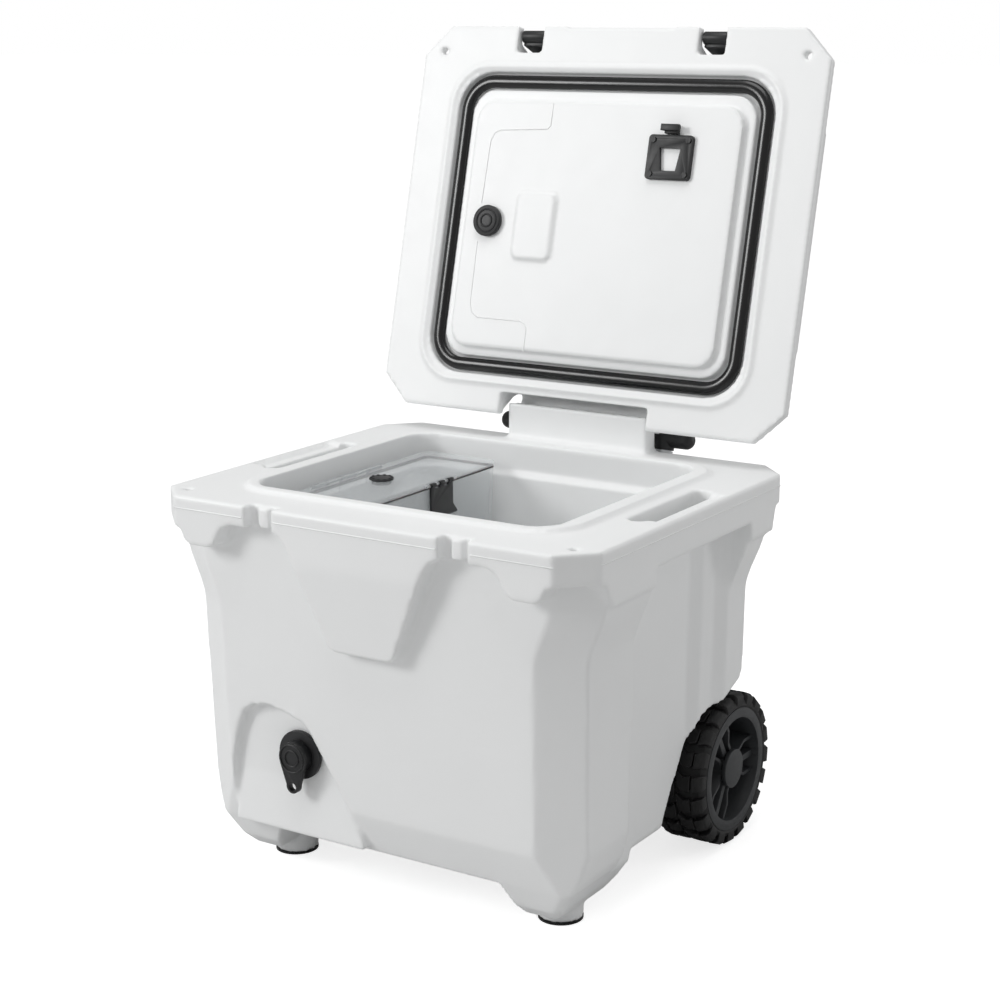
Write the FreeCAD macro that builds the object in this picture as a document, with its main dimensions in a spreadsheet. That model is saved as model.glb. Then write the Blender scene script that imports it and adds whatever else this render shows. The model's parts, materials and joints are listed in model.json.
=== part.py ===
"""Wheeled hard cooler: moulded insulated body, opening lid, drink tank, wheels and pull handle.

Millimetres, +Z up. The origin is on the ground under the middle of the cooler with its lid open.
Heights are from the ground. Depths (Y) are given from the middle of the rim, and every helper adds
mid_y, the place of that middle in the model's frame. Lid pieces are drawn in the closed position
and then turned about the hinge by lid_open.
"""
import FreeCAD
import Part
import math
import os
import re
import Sketcher
from FreeCAD import Placement, Rotation, Vector

doc = FreeCAD.newDocument("wheeled_cooler")

# ---------------------------------------------------------------- driving dimensions
SIZES = {
    # whole cooler
    "mid_y": -70,
    "rim_wide": 580,
    "rim_deep": 500,
    "rim_corner": 38,
    "rim_top": 460,
    "rim_thick": 25,
    "corner_thick": 36.5,
    "skirt_thick": 45,
    "bracket_deep": 66,
    "tooth_deep": 56,
    "skin": 5,
    # body walls, at the rim and at the bottom, and the slant across each of their corners
    "side_top": 264,
    "side_low": 258.5,
    "front_top": 226,
    "front_low": 213,
    "back_top": 217,
    "back_low": 212,
    "body_low": 60,
    "band_wide": 50,
    "band_deep": 32,
    "recess_deep": 22,
    # tub
    "tub_half": 204,
    "tub_front": 176,
    "tub_back": 180,
    "tub_ledge": 6,
    "ledge_low": 424,
    "tub_floor": 135,
    "tub_taper": 10,
    "tub_round": 38,
    "hump_in": 138,
    "hump_front": 50,
    "hump_top": 206,
    "lip_half": 222,
    "lip_front": 188,
    "lip_back": 197,
    "lip_rise": 5,
    # wheels and axle
    "wheel_radius": 94.5,
    "wheel_y": 175.5,
    "wheel_out": 258.5,
    "tyre_wide": 70,
    "tyre_inner": 76,
    "axle_radius": 6,
    "well_in": 166,
    "bush_radius": 10,
    # feet
    "foot_x": 188,
    "foot_y": -122,
    "foot_radius": 26,
    "foot_thick": 3,
    # drain
    "drain_x": -110,
    "drain_z": 162,
    "drain_bore": 9,
    "drain_stem": 13.5,
    "drain_flange": 29,
    # lid, drawn closed
    "lid_low": 462,
    "lid_flange": 13,
    "lid_top": 518,
    "plug_low": 454,
    "lid_open": 104.09,
    "hinge_y": 240.7,
    "hinge_z": 492.5,
    "hinge_half": 101,
    "knuckle": 10.5,
    "pin_radius": 4,
    "notch_x": 130,
    "notch_wide": 37,
    "lock_x": 259,
    "lock_y": -216,
    "lock_radius": 5,
    # latches
    "latch_y": -238,
    "latch_z": 474,
    "latch_wide": 32,
    "latch_flip": 190,
    # handle
    "handle_tilt": 15,
    "tube_x": 100,
    "tube_foot_y": 204.1,
    "tube_foot_z": 200,
    "tube_long": 262,
    "tube_outer": 13.5,
    "tube_middle": 11.95,
    "tube_inner": 10.35,
    "tube_wall": 1.5,
    "grip_at": 281,
    "grip_half": 141,
    "grip_radius": 11.5,
    # drink tank
    "tank_left": -193,
    "tank_right": -80,
    "tank_front": -160,
    "tank_back": 166,
    "tank_low": 136,
    "tank_top": 435,
    "tank_wall": 3,
    "tank_lid_top": 443,
}

sheet = doc.addObject("Spreadsheet::Sheet", "Sizes")
for row, (alias, number) in enumerate(SIZES.items(), start=1):
    sheet.set(f"A{row}", alias)
    sheet.set(f"B{row}", str(number))
    sheet.setAlias(f"B{row}", alias)
doc.recompute()

ORIGIN = Vector(0, 0, 0)
X_AXIS = Vector(1, 0, 0)
Y_AXIS = Vector(0, 1, 0)
Z_AXIS = Vector(0, 0, 1)
BEYOND = 60
FIT = 0.05
SIDES = {"left": -1, "right": 1}
pieces = []


# ---------------------------------------------------------------- helpers
def formula(text):
    """An expression on the sheet's cells, from a sum of their aliases."""
    def with_sheet(match):
        word = match.group()
        return f"Sizes.{word}" if word in SIZES else word
    return re.sub(r"[a-z_][a-z_0-9]*", with_sheet, str(text))


def number(text):
    """The present value of such a sum."""
    return float(sheet.evalExpression(formula(text)))


def bind(obj, **expressions):
    for path, text in expressions.items():
        obj.setExpression(path.replace("__", "."), formula(text))


def deep(text):
    """A depth from the rim's middle, in the model's frame."""
    return f"mid_y + ({text})"


def span(centre, width):
    """The two ends of a width about a centre."""
    return f"({centre}) - ({width}) / 2", f"({centre}) + ({width}) / 2"


def block(name, x, y, z):
    """A box between two limits on each axis."""
    box = doc.addObject("Part::Box", name)
    bind(box, Length=f"({x[1]}) - ({x[0]})", Width=f"({y[1]}) - ({y[0]})", Height=f"({z[1]}) - ({z[0]})",
         Placement__Base__x=x[0], Placement__Base__y=deep(y[0]), Placement__Base__z=z[0])
    return box


def rod(name, axis, radius, ends, x=0, y=0, z=0):
    """A cylinder along X, Y or Z between two ends, through the given point on the other axes."""
    cylinder = doc.addObject("Part::Cylinder", name)
    turn = {"X": Rotation(Y_AXIS, 90), "Y": Rotation(X_AXIS, -90), "Z": Rotation()}[axis]
    cylinder.Placement = Placement(ORIGIN, turn)
    x, y, z = {"X": (ends[0], y, z), "Y": (x, ends[0], z), "Z": (x, y, ends[0])}[axis]
    bind(cylinder, Radius=radius, Height=f"({ends[1]}) - ({ends[0]})",
         Placement__Base__x=x, Placement__Base__y=deep(y), Placement__Base__z=z)
    return cylinder


def ring(name, axis, outer, inner, ends, x=0, y=0, z=0):
    """A tube along an axis."""
    hole_ends = (f"({ends[0]}) - 1", f"({ends[1]}) + 1")
    return cut(name, rod(name + "_outside", axis, outer, ends, x, y, z),
               rod(name + "_inside", axis, inner, hole_ends, x, y, z))


def sketch_in(body, plane, points, offset):
    """A closed outline on one of the body's origin planes, each corner held by the sheet."""
    sketch = body.newObject("Sketcher::SketchObject", body.Name + "_outline")
    role = {"XY": "XY_Plane", "YZ": "YZ_Plane", "XZ": "XZ_Plane"}[plane]
    support = next(f for f in body.Origin.OriginFeatures if f.Role == role)
    sketch.AttachmentSupport = [(support, "")]
    sketch.MapMode = "FlatFace"
    bind(sketch, AttachmentOffset__Base__z=offset)
    across_is_depth = plane == "YZ"
    up_is_depth = plane == "XY"
    spots = []
    for across, up in points:
        across = deep(across) if across_is_depth else across
        up = deep(up) if up_is_depth else up
        spots.append((across, up))
    count = len(spots)
    corners = [Vector(number(across), number(up), 0) for across, up in spots]
    for i in range(count):
        sketch.addGeometry(Part.LineSegment(corners[i], corners[(i + 1) % count]))
    for i in range(count):
        sketch.addConstraint(Sketcher.Constraint("Coincident", i, 2, (i + 1) % count, 1))
    for i, (across, up) in enumerate(spots):
        for kind, text, size in (("DistanceX", across, corners[i].x), ("DistanceY", up, corners[i].y)):
            held = sketch.addConstraint(Sketcher.Constraint(kind, -1, 1, i, 1, size))
            sketch.setExpression(f"Constraints[{held}]", formula(text))
    return sketch


def prism(name, plane, points, ends):
    """A straight-sided outline carried along the plane's normal between two limits."""
    body = doc.addObject("PartDesign::Body", name)
    if plane == "XZ":
        # this plane's normal points to the front, so its offset runs backwards
        start = f"-(({deep(ends[1])}))"
    else:
        start = ends[0]
    sketch = sketch_in(body, plane, points, start)
    pad = body.newObject("PartDesign::Pad", name + "_pad")
    pad.Profile = sketch
    bind(pad, Length=f"({ends[1]}) - ({ends[0]})")
    return body


def loft(name, sections):
    """A flat-walled tapering solid through level outlines. A loft feature would make its walls
    spline surfaces, so they are closed from plane faces here, with sizes read from the sheet."""
    outlines = [
        [Vector(number(across), number(deep(up)), number(height)) for across, up in points]
        for height, points in sections
    ]
    faces = [flat_face(outlines[0]), flat_face(outlines[-1])]
    count = len(outlines[0])
    for lower, upper in zip(outlines, outlines[1:]):
        for i in range(count):
            after = (i + 1) % count
            faces.append(flat_face([lower[i], lower[after], upper[after], upper[i]]))
    feature = doc.addObject("Part::Feature", name)
    feature.Shape = Part.Solid(Part.Shell(faces))
    return feature


def flat_face(corners):
    return Part.Face(Part.makePolygon([*corners, corners[0]]))


def tapered_block(name, low, high, z):
    """A box that tapers upwards, from its (x, x, y, y) limits at the bottom and at the top."""
    wedge = doc.addObject("Part::Wedge", name)
    # the wedge tapers along its own Y, so it is stood up, which turns its Z to the front
    wedge.Placement = Placement(ORIGIN, Rotation(X_AXIS, 90))
    bind(wedge, Ymin=z[0], Ymax=z[1], Xmin=low[0], Xmax=low[1], X2min=high[0], X2max=high[1],
         Zmin=f"-({deep(low[3])})", Zmax=f"-({deep(low[2])})",
         Z2min=f"-({deep(high[3])})", Z2max=f"-({deep(high[2])})")
    return wedge


def fuse(name, *shapes):
    joined = doc.addObject("Part::MultiFuse", name)
    joined.Shapes = list(shapes)
    joined.Refine = True
    return joined


def cut(name, base, *tools):
    less = doc.addObject("Part::Cut", name)
    less.Base = base
    less.Tool = tools[0] if len(tools) == 1 else fuse(name + "_tools", *tools)
    less.Refine = True
    return less


def group(name, *shapes):
    """Separate solids kept together."""
    together = doc.addObject("Part::Compound", name)
    together.Links = list(shapes)
    return together


def turned(name, shape, placement):
    """The same solid again, at another place."""
    copy = group(name, shape)
    copy.Placement = placement
    return copy


def rounded(name, base, radius, wanted):
    """Edges chosen by a test, given a radius."""
    doc.recompute()
    fillet = doc.addObject("Part::Fillet", name)
    fillet.Base = base
    size = number(radius)
    fillet.Edges = [(i, size, size) for i, edge in enumerate(base.Shape.Edges, start=1) if wanted(edge)]
    return fillet


def upright(edge):
    """True for an edge that rises more than it runs."""
    run = edge.Vertexes[-1].Point - edge.Vertexes[0].Point
    return len(edge.Vertexes) == 2 and abs(run.z) > 3 * math.hypot(run.x, run.y)


def piece(label, shape):
    """A finished sub-part, written to its own file."""
    shape.Label = label
    pieces.append(shape)
    return shape


def octagon(half, front, back, corner):
    """A rectangle with its four corners cut at 45 degrees."""
    return [
        (f"-({half}) + ({corner})", front),
        (f"({half}) - ({corner})", front),
        (half, f"({front}) + ({corner})"),
        (half, f"({back}) - ({corner})"),
        (f"({half}) - ({corner})", back),
        (f"-({half}) + ({corner})", back),
        (f"-({half})", f"({back}) - ({corner})"),
        (f"-({half})", f"({front}) + ({corner})"),
    ]


def mirrored(points, side):
    """The outline on the right, or its twin on the left."""
    return [(f"{side} * ({across})", up) for across, up in points]


def sides(side, near, far):
    """Limits on X between two distances from the middle, on one side."""
    return (near, far) if side > 0 else (f"-({far})", f"-({near})")


def under_rim(drop):
    return f"rim_top - ({drop})"


def hinge_point():
    return Vector(0, number("mid_y + hinge_y"), number("hinge_z"))


LID_OPEN = Placement(ORIGIN, Rotation(X_AXIS, -number("lid_open")), hinge_point())
LATCH_UP = Placement(ORIGIN, Rotation(X_AXIS, -number("latch_flip")),
                     Vector(0, number("mid_y + latch_y"), number("latch_z")))
TUBE_LEAN = Placement(Vector(0, number("mid_y + tube_foot_y"), number("tube_foot_z")),
                      Rotation(X_AXIS, -number("handle_tilt")))
WHEEL_AT = Vector(0, number("mid_y + wheel_y"), number("wheel_radius"))


# ---------------------------------------------------------------- body
NECK_LEVELS = 6
NECK_LOW = 140
NECK_HIGH = 56
NECK_FLARE = 23


def body_section(side, front, back, inset=0):
    """A level outline of the body, with a long slant across each corner."""
    half = f"{side} - ({inset})"
    ahead = f"-({front} - ({inset}))"
    behind = f"{back} - ({inset})"
    right = [
        (f"{half} - band_wide", ahead),
        (half, f"{ahead} + band_deep"),
        (half, f"{behind} - band_deep"),
        (f"{half} - band_wide", behind),
    ]
    left = [(f"-({across})", up) for across, up in reversed(right)]
    return right + left


def tub_shape(name, grow):
    """The tub's hollow, or the same with its wall round it."""
    half = f"tub_half - tub_ledge + ({grow})"
    front = f"-(tub_front - tub_ledge + ({grow}))"
    back = f"tub_back - tub_ledge + ({grow})"
    mouth = (f"-({half})", half, front, back)
    floor = (f"-({half}) + tub_taper", f"{half} - tub_taper", f"{front} + tub_taper", f"{back} - tub_taper")
    main = tapered_block(name + "_main", floor, mouth, (f"tub_floor - ({grow})", "ledge_low + 1"))
    main = rounded(name + "_sides", main, f"tub_round - tub_ledge + ({grow})", upright)
    top = block(name + "_top", (f"-tub_half - ({grow})", f"tub_half + ({grow})"),
                (f"-tub_front - ({grow})", f"tub_back + ({grow})"), ("ledge_low", "rim_top + 40"))
    top = rounded(name + "_top_sides", top, f"tub_round + ({grow})", upright)
    humps = [
        block(f"{name}_hump_{word}", sides(side, f"hump_in + ({grow})", "tub_half + 40"),
              (f"hump_front + ({grow})", "tub_back + 40"), ("tub_floor - 40", f"hump_top - ({grow})"))
        for word, side in SIDES.items()
    ]
    return fuse(name, cut(name + "_low", main, *humps), top)


def wheel_well(name, side, grow):
    """The space over one wheel, open to the back, the side and the ground. Its roof rises to the
    back in an arch near the side wall, and stays level further in, under the tub."""
    front = [
        (f"30 - ({grow})", -20),
        (f"30 - ({grow})", f"66 + ({grow})"),
        (f"34 - ({grow})", f"76 + ({grow})"),
        (f"58.5 - ({grow})", f"120 + ({grow})"),
        (f"90 - ({grow})", f"174 + ({grow})"),
    ]
    level = [
        (f"104 - ({grow})", f"190 + ({grow})"),
        (f"130 - ({grow})", f"197 + ({grow})"),
        (270, f"197 + ({grow})"),
        (270, -20),
    ]
    arch = [
        (98, f"184 + ({grow})"),
        (121, f"188 + ({grow})"),
        (154, f"201.5 + ({grow})"),
        (176, f"210 + ({grow})"),
        (186, f"224 + ({grow})"),
        (270, f"224 + ({grow})"),
        (270, -20),
    ]
    return fuse(name, prism(name + "_inner", "YZ", front + level, sides(side, f"well_in - ({grow})", "side_top - 30")),
                prism(name + "_arch", "YZ", front + arch, sides(side, f"side_top - 32 - ({grow})", "side_top + 40")))


def corner_pad(name, side, end):
    """The thick corner of the rim, behind its slanted face."""
    near = "rim_deep / 2"
    points = [
        ("rim_wide / 2 - rim_corner - 6", f"{end} * ({near})"),
        ("rim_wide / 2 - rim_corner", f"{end} * ({near})"),
        ("rim_wide / 2", f"{end} * ({near} - rim_corner)"),
        ("rim_wide / 2", f"{end} * ({near} - rim_corner - 12)"),
        ("rim_wide / 2 - 50", f"{end} * ({near} - rim_corner - 12)"),
        ("rim_wide / 2 - 50", f"{end} * ({near} - rim_corner)"),
    ]
    return prism(name, "XY", mirrored(points, side), (under_rim("corner_thick"), under_rim(2)))


def side_skirt(name, side):
    """The deep side of the rim: deepest at its two ends, where it carries on into the pillars."""
    points = [
        (-212, under_rim(2)),
        (-212, under_rim("corner_thick")),
        (-202, under_rim(40)),
        (-196, under_rim(56)),
        (-184, under_rim("bracket_deep")),
        (-94, under_rim("bracket_deep")),
        (-72, under_rim("skirt_thick")),
        (92, under_rim("skirt_thick")),
        (112, under_rim("bracket_deep")),
        (196, under_rim("bracket_deep")),
        (204, under_rim("corner_thick")),
        (212, under_rim("corner_thick")),
        (212, under_rim(2)),
    ]
    return prism(name, "YZ", points, sides(side, "rim_wide / 2 - 30", "rim_wide / 2"))


def front_tooth(name, side):
    """The bracket under the front of the rim, beside the corner."""
    points = [
        (148, under_rim(10)),
        (148, under_rim("rim_thick")),
        (170, under_rim("rim_thick")),
        (184, under_rim("rim_thick + 6")),
        (196, under_rim("tooth_deep - 4")),
        (204, under_rim("tooth_deep")),
        (232, under_rim("tooth_deep")),
        (240, under_rim("tooth_deep - 6")),
        (245, under_rim("corner_thick + 2")),
        (252, under_rim("corner_thick")),
        (252, under_rim(10)),
    ]
    return prism(name, "XZ", mirrored(points, side), ("-rim_deep / 2", "-front_top + 8"))


def pillar_neck(name, side, end):
    """The flare by which a corner pillar widens out to the rim, slanted like the body's corner."""
    face = {-1: "front", 1: "back"}[end]
    far = {-1: 92, 1: 112}[end]
    sections = []
    for level in range(NECK_LEVELS + 1):
        rise = level / NECK_LEVELS
        flare = NECK_FLARE * (3 * rise ** 2 - 2 * rise ** 3)
        height = under_rim(NECK_LOW - (NECK_LOW - NECK_HIGH) * rise)
        share = f"({height} - body_low) / (rim_top - 10 - body_low)"
        wall = f"side_low + (side_top - side_low) * {share} + {flare - 0.2}"
        near = f"{face}_low + ({face}_top - {face}_low) * {share} - 0.2"
        points = [
            ("side_top - 60", f"{end} * ({near})"),
            (f"{wall} - band_wide", f"{end} * ({near})"),
            (wall, f"{end} * ({near} - band_deep)"),
            (wall, f"{end} * {far}"),
            ("side_top - 60", f"{end} * {far}"),
        ]
        sections.append((height, mirrored(points, side)))
    sections.append((under_rim(20), sections[-1][1]))
    return loft(name, sections)


def side_recess(name, side):
    """The deep panel in the side wall, which steps out again towards the back pillar."""
    def section(wall):
        points = [
            (f"{wall} + 30", -92),
            (f"{wall} - recess_deep", -92),
            (f"{wall} - recess_deep", 76),
            (f"{wall} - recess_deep / 2", 92),
            (f"{wall} - recess_deep / 2", 120),
            (f"{wall} + 1", 138),
            (f"{wall} + 30", 138),
        ]
        return mirrored(points, side)
    return loft(name, [("body_low - 30", section("side_low - 1")), (under_rim("skirt_thick"), section("side_top"))])


LEG_SLANT = (7, 4.5)


def front_leg(name, side):
    """The leg under each front corner."""
    def section(inner, outer, front, back):
        return mirrored([
            (inner, front),
            (outer - LEG_SLANT[0], front),
            (outer, front + LEG_SLANT[1]),
            (outer, back),
            (inner, back),
        ], side)
    return loft(name, [
        (20, section(172, 214, -172, -72)),
        (34, section(165, 224, -186, -56)),
        (60, section(152, 240, -197, -46)),
        (100, section(150, 232, -198, -46)),
    ])


def lower_trims(word, side):
    """The slants under the front pillar and along the bottom of the side wall."""
    pillar = [(262, 118), (251, 76), (241, 58), (241, 30), (300, 30), (300, 118)]
    wall = [(237, 67), (229, 59), (229, 50), (262, 50), (262, 67)]
    return [
        prism(f"pillar_trim_{word}", "XZ", mirrored(pillar, side), (-235, -46)),
        prism(f"wall_trim_{word}", "XZ", mirrored(wall, side), (-46, 40)),
    ]


DRAIN_OUTLINE = [(-206, 64), (-205, 142), (-196, 180), (-186, 203), (-172, 214), (-150, 218), (-116, 211),
                 (-100, 203), (-90, 192), (-55, 137), (-20, 70), (-20, 64)]


def drain_recess():
    """The hollow round the drain, whose floor slants out to the front towards its foot."""
    block_out = prism("drain_recess_block", "XZ", DRAIN_OUTLINE, (-240, -205))
    floor = prism("drain_recess_floor", "YZ", [(-203, 128), (-205, 128), (-214, 62), (-203, 62)], (-215, -10))
    return cut("drain_recess", block_out, floor)


def drain_panel():
    """The foot of that floor, which stands proud of the bevel under the front."""
    outline = [(-206, 64), (-205.3, 127), (-50, 127), (-20, 70), (-20, 64)]
    front = prism("drain_panel_front", "YZ", [(-240, 129), (-205.1, 129), (-205.1, 128), (-214, 62), (-240, 62)],
                  (-215, -10))
    return cut("drain_panel", prism("drain_panel_block", "XZ", outline, (-220, -192)), front)


def shield():
    """The tapering panel in the middle of the front, with its face leaning in."""
    right = [
        (113, under_rim(2)),
        (113, under_rim("rim_thick")),
        (101, under_rim("rim_thick + 6")),
        (91, under_rim("rim_thick + 20")),
        (46, under_rim(147)),
        (38, under_rim(155)),
    ]
    left = [(-across, up) for across, up in reversed(right)]
    face = prism("shield_block", "XZ", right + left, ("-rim_deep / 2", "-front_low"))
    lean = prism("shield_lean", "YZ", [
        ("-rim_deep / 2 - 12", under_rim(58)),
        ("-rim_deep / 2", under_rim(58)),
        ("-rim_deep / 2 + 12", under_rim(160)),
        ("-rim_deep / 2 - 12", under_rim(160)),
    ], (-110, 110))
    return cut("shield", face, lean)


def hinge_base():
    """The block at the back of the rim that carries the lid, with its share of the knuckles."""
    across = ("-hinge_half", "hinge_half")
    parts = [block("hinge_block", across, (224.5, "rim_deep / 2"), (under_rim(6), "hinge_z - knuckle - 1.5")),
             block("hinge_wall", across, (224.5, "hinge_y - knuckle - 0.4"), (under_rim(6), 505))]
    for i, (low, high) in enumerate(knuckle_ends(0)):
        parts.append(rod(f"base_knuckle_{i}", "X", "knuckle", (low, high), y="hinge_y", z="hinge_z"))
        parts.append(block(f"base_web_{i}", (low, high), ("hinge_y - knuckle", "rim_deep / 2"),
                           (under_rim(6), "hinge_z")))
    return parts


KNUCKLES = 11
KNUCKLE_GAP = 0.4


def knuckle_ends(first):
    """The ends of every second knuckle along the hinge."""
    pitch = f"(2 * hinge_half / {KNUCKLES})"
    return [
        (f"-hinge_half + {i} * {pitch} + {KNUCKLE_GAP}", f"-hinge_half + {i + 1} * {pitch} - {KNUCKLE_GAP}")
        for i in range(first, KNUCKLES, 2)
    ]


def foam_core():
    """The foam between the skin and the tub."""
    core = loft("foam_block", [
        ("body_low + skin + 3", body_section("side_low - recess_deep", "front_low - 9", "back_low - 9", "skin")),
        ("rim_top - skirt_thick + 3", body_section("side_top - recess_deep", "front_top - 9", "back_top - 9", "skin")),
    ])
    bevel = [(-240, 100), (-204, 100), (-188, 59), (-188, 40), (-240, 40)]
    away = [tub_shape("tub_wall", "skin"), prism("foam_bevel", "YZ", bevel, (-250, 250))]
    away.append(block("foam_drain", (-214, -12), (-240, -192), (50, 226)))
    away.append(block("foam_drain_stem", ("drain_x - 19", "drain_x + 19"), (-200, -150), ("drain_z - 19", "drain_z + 19")))
    for word, side in SIDES.items():
        away.append(wheel_well(f"foam_well_{word}", side, "skin"))
        away.append(leaning_rod(f"foam_tube_{word}", "tube_outer + 8", (-14, 300), side))
    away.append(block("foam_floor_gap", ("-well_in - 20", "well_in + 20"), ("wheel_y - 26", "back_top + 9"),
                      (0, "wheel_radius + 26")))
    return cut("foam_core", core, *away)


def leaning_rod(name, radius, ends, side):
    """A cylinder along one of the handle's leaning tubes, between two distances from its foot."""
    cylinder = doc.addObject("Part::Cylinder", name)
    bind(cylinder, Radius=radius, Height=f"({ends[1]}) - ({ends[0]})",
         Placement__Base__x=f"{side} * tube_x", Placement__Base__z=ends[0])
    return turned(name + "_leaning", cylinder, TUBE_LEAN)


def screw_rods(name, spots, radius, ends, axis):
    """Shanks for a set of screws, used for the screws and for their holes."""
    return [rod(f"{name}_{i}", axis, radius, ends, *spot) for i, spot in enumerate(spots)]


BRACKET_SPOTS = [(f"{side} * {out}", 0, height) for side in (-1, 1) for out in (64, 126) for height in (397, 226)]
FOOT_SPOTS = [(f"{side} * foot_x", "foot_y", 0) for side in (-1, 1)]


def bracket_shanks(name):
    return screw_rods(name, BRACKET_SPOTS, 2.5, ("back_low - 5", "back_top + 7"), "Y")


def foot_shanks(name):
    return screw_rods(name, FOOT_SPOTS, 2.5, (2, 24), "Z")


def make_body():
    solids = [
        prism("rim_plate", "XY", octagon("rim_wide / 2", "-rim_deep / 2", "rim_deep / 2", "rim_corner"),
              (under_rim("rim_thick"), "rim_top")),
        loft("body_block", [("body_low", body_section("side_low", "front_low", "back_low")),
                            (under_rim(10), body_section("side_top", "front_top", "back_top"))]),
        rounded("lip", block("lip_block", ("-lip_half", "lip_half"), ("-lip_front", "lip_back"),
                             (under_rim(10), "rim_top + lip_rise")), "tub_round + 16", upright),
        shield(),
        *hinge_base(),
    ]
    hollows = [tub_shape("tub", 0)]
    for word, side in SIDES.items():
        solids += [
            side_skirt(f"skirt_{word}", side),
            corner_pad(f"front_corner_{word}", side, -1),
            corner_pad(f"back_corner_{word}", side, 1),
            front_tooth(f"tooth_{word}", side),
            pillar_neck(f"front_neck_{word}", side, -1),
            pillar_neck(f"back_neck_{word}", side, 1),
            front_leg(f"leg_{word}", side),
            rod(f"foot_boss_{word}", "Z", "foot_radius", ("foot_thick", 40), x=f"{side} * foot_x", y="foot_y"),
        ]
        hollows += [
            side_recess(f"recess_{word}", side),
            wheel_well(f"well_{word}", side, 0),
            *lower_trims(word, side),
            block(f"latch_gap_{word}", span(f"{side} * notch_x", "notch_wide"), ("-rim_deep / 2 - 9", "-234"),
                  (under_rim(30), "rim_top + 9")),
            rounded(f"finger_slot_{word}",
                    block(f"slot_block_{word}", span(f"{side} * 252", 24), (-78, 90), (under_rim(50), "rim_top + 9")),
                    11.9, upright),
            rod(f"lock_hole_{word}", "Z", "lock_radius", (under_rim(50), "rim_top + 9"),
                x=f"{side} * lock_x", y="lock_y"),
            leaning_rod(f"tube_groove_{word}", "tube_outer", (-3, 330), side),
            rod(f"bush_hole_{word}", "X", "bush_radius", sides(side, "well_in - 16", "well_in + 9"),
                y="wheel_y", z="wheel_radius"),
        ]
    hollows += [
        prism("front_bevel", "YZ", [(-240, 108), (-214.7, 108), (-197, 59), (-197, 40), (-240, 40)], (-270, 270)),
        drain_recess(),
        rod("drain_hole", "Y", "drain_stem", (-240, -140), x="drain_x", z="drain_z"),
        rod("axle_hole", "X", "axle_radius", ("-well_in - 9", "well_in + 9"), y="wheel_y", z="wheel_radius"),
        *bracket_shanks("bracket_hole"),
        *foot_shanks("foot_hole"),
        rod("hinge_bore", "X", "pin_radius", ("-hinge_half - 9", "hinge_half + 9"), y="hinge_y", z="hinge_z"),
    ]
    foam = foam_core()
    shell = cut("body_shell", fuse("body_solid", *solids), *hollows)
    ribs = [
        block(f"latch_rib_{word}", span(f"{side} * notch_x", 14), (-240, -233.5), (under_rim("rim_thick"), under_rim(2)))
        for word, side in SIDES.items()
    ]
    piece("body_skin", cut("body_skin_hollow", fuse("body_with_ribs", shell, *ribs, drain_panel()), foam))
    piece("body_foam", group("body_foam_group", foam))


def make_feet():
    discs = [
        rod(f"foot_disc_{word}", "Z", "foot_radius", (0, "foot_thick"), x=f"{side} * foot_x", y="foot_y")
        for word, side in SIDES.items()
    ]
    piece("front_feet", cut("front_feet_bored", group("foot_discs", *discs), *foot_shanks("foot_bore"),
                            *screw_rods("foot_sink", FOOT_SPOTS, 5, (-1, 2), "Z")))
    screws = []
    for shank, head in zip(foot_shanks("foot_shank"), screw_rods("foot_head", FOOT_SPOTS, 5, (0.6, 2), "Z")):
        screws.append(fuse(shank.Name + "_screw", shank, head))
    piece("foot_screws", group("foot_screw_group", *screws))


# ---------------------------------------------------------------- drain
def at_drain(name, radius, ends):
    return rod(name, "Y", radius, ends, x="drain_x", z="drain_z")


def make_drain():
    """Outlet through the front wall, at the foot of the tub."""
    face, wall, inside = "-212", "-206.5", "-160"
    body = fuse("drain_solid", at_drain("drain_stem_rod", "drain_stem", (face, "-153")),
                at_drain("drain_flange_disc", "drain_flange", (face, wall)))
    piece("drain_fitting", cut("drain_fitting_bored", body, at_drain("drain_bore_rod", "drain_bore", (-230, -140))))
    piece("drain_washer", ring("drain_washer_ring", "Y", "drain_flange - 3", "drain_stem", (wall, "-205"),
                               x="drain_x", z="drain_z"))
    piece("drain_nut", ring("drain_nut_ring", "Y", 19, "drain_stem", (inside, "-154.5"), x="drain_x", z="drain_z"))
    front = "-226"
    shapes = [at_drain("cap_disc", 18.5, (front, "-212.3")), at_drain("cap_plug", "drain_bore - 0.3", ("-213", "-196"))]
    tail = prism("cap_tail", "XZ", [
        ("drain_x - 17.4", "drain_z - 6.5"),
        ("drain_x - 8", "drain_z - 34"),
        ("drain_x + 8", "drain_z - 34"),
        ("drain_x + 17.4", "drain_z - 6.5"),
    ], (front, "-219"))
    tip = rod("cap_tip", "Y", 8.5, (front, "-219"), x="drain_x", z="drain_z - 34")
    hole = rod("cap_hole", "Y", 5, ("-230", "-215"), x="drain_x", z="drain_z - 35")
    piece("drain_cap", cut("drain_cap_bored", fuse("drain_cap_solid", *shapes, tail, tip), hole))


# ---------------------------------------------------------------- wheels
SPOKE_GROUPS = 3


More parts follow.
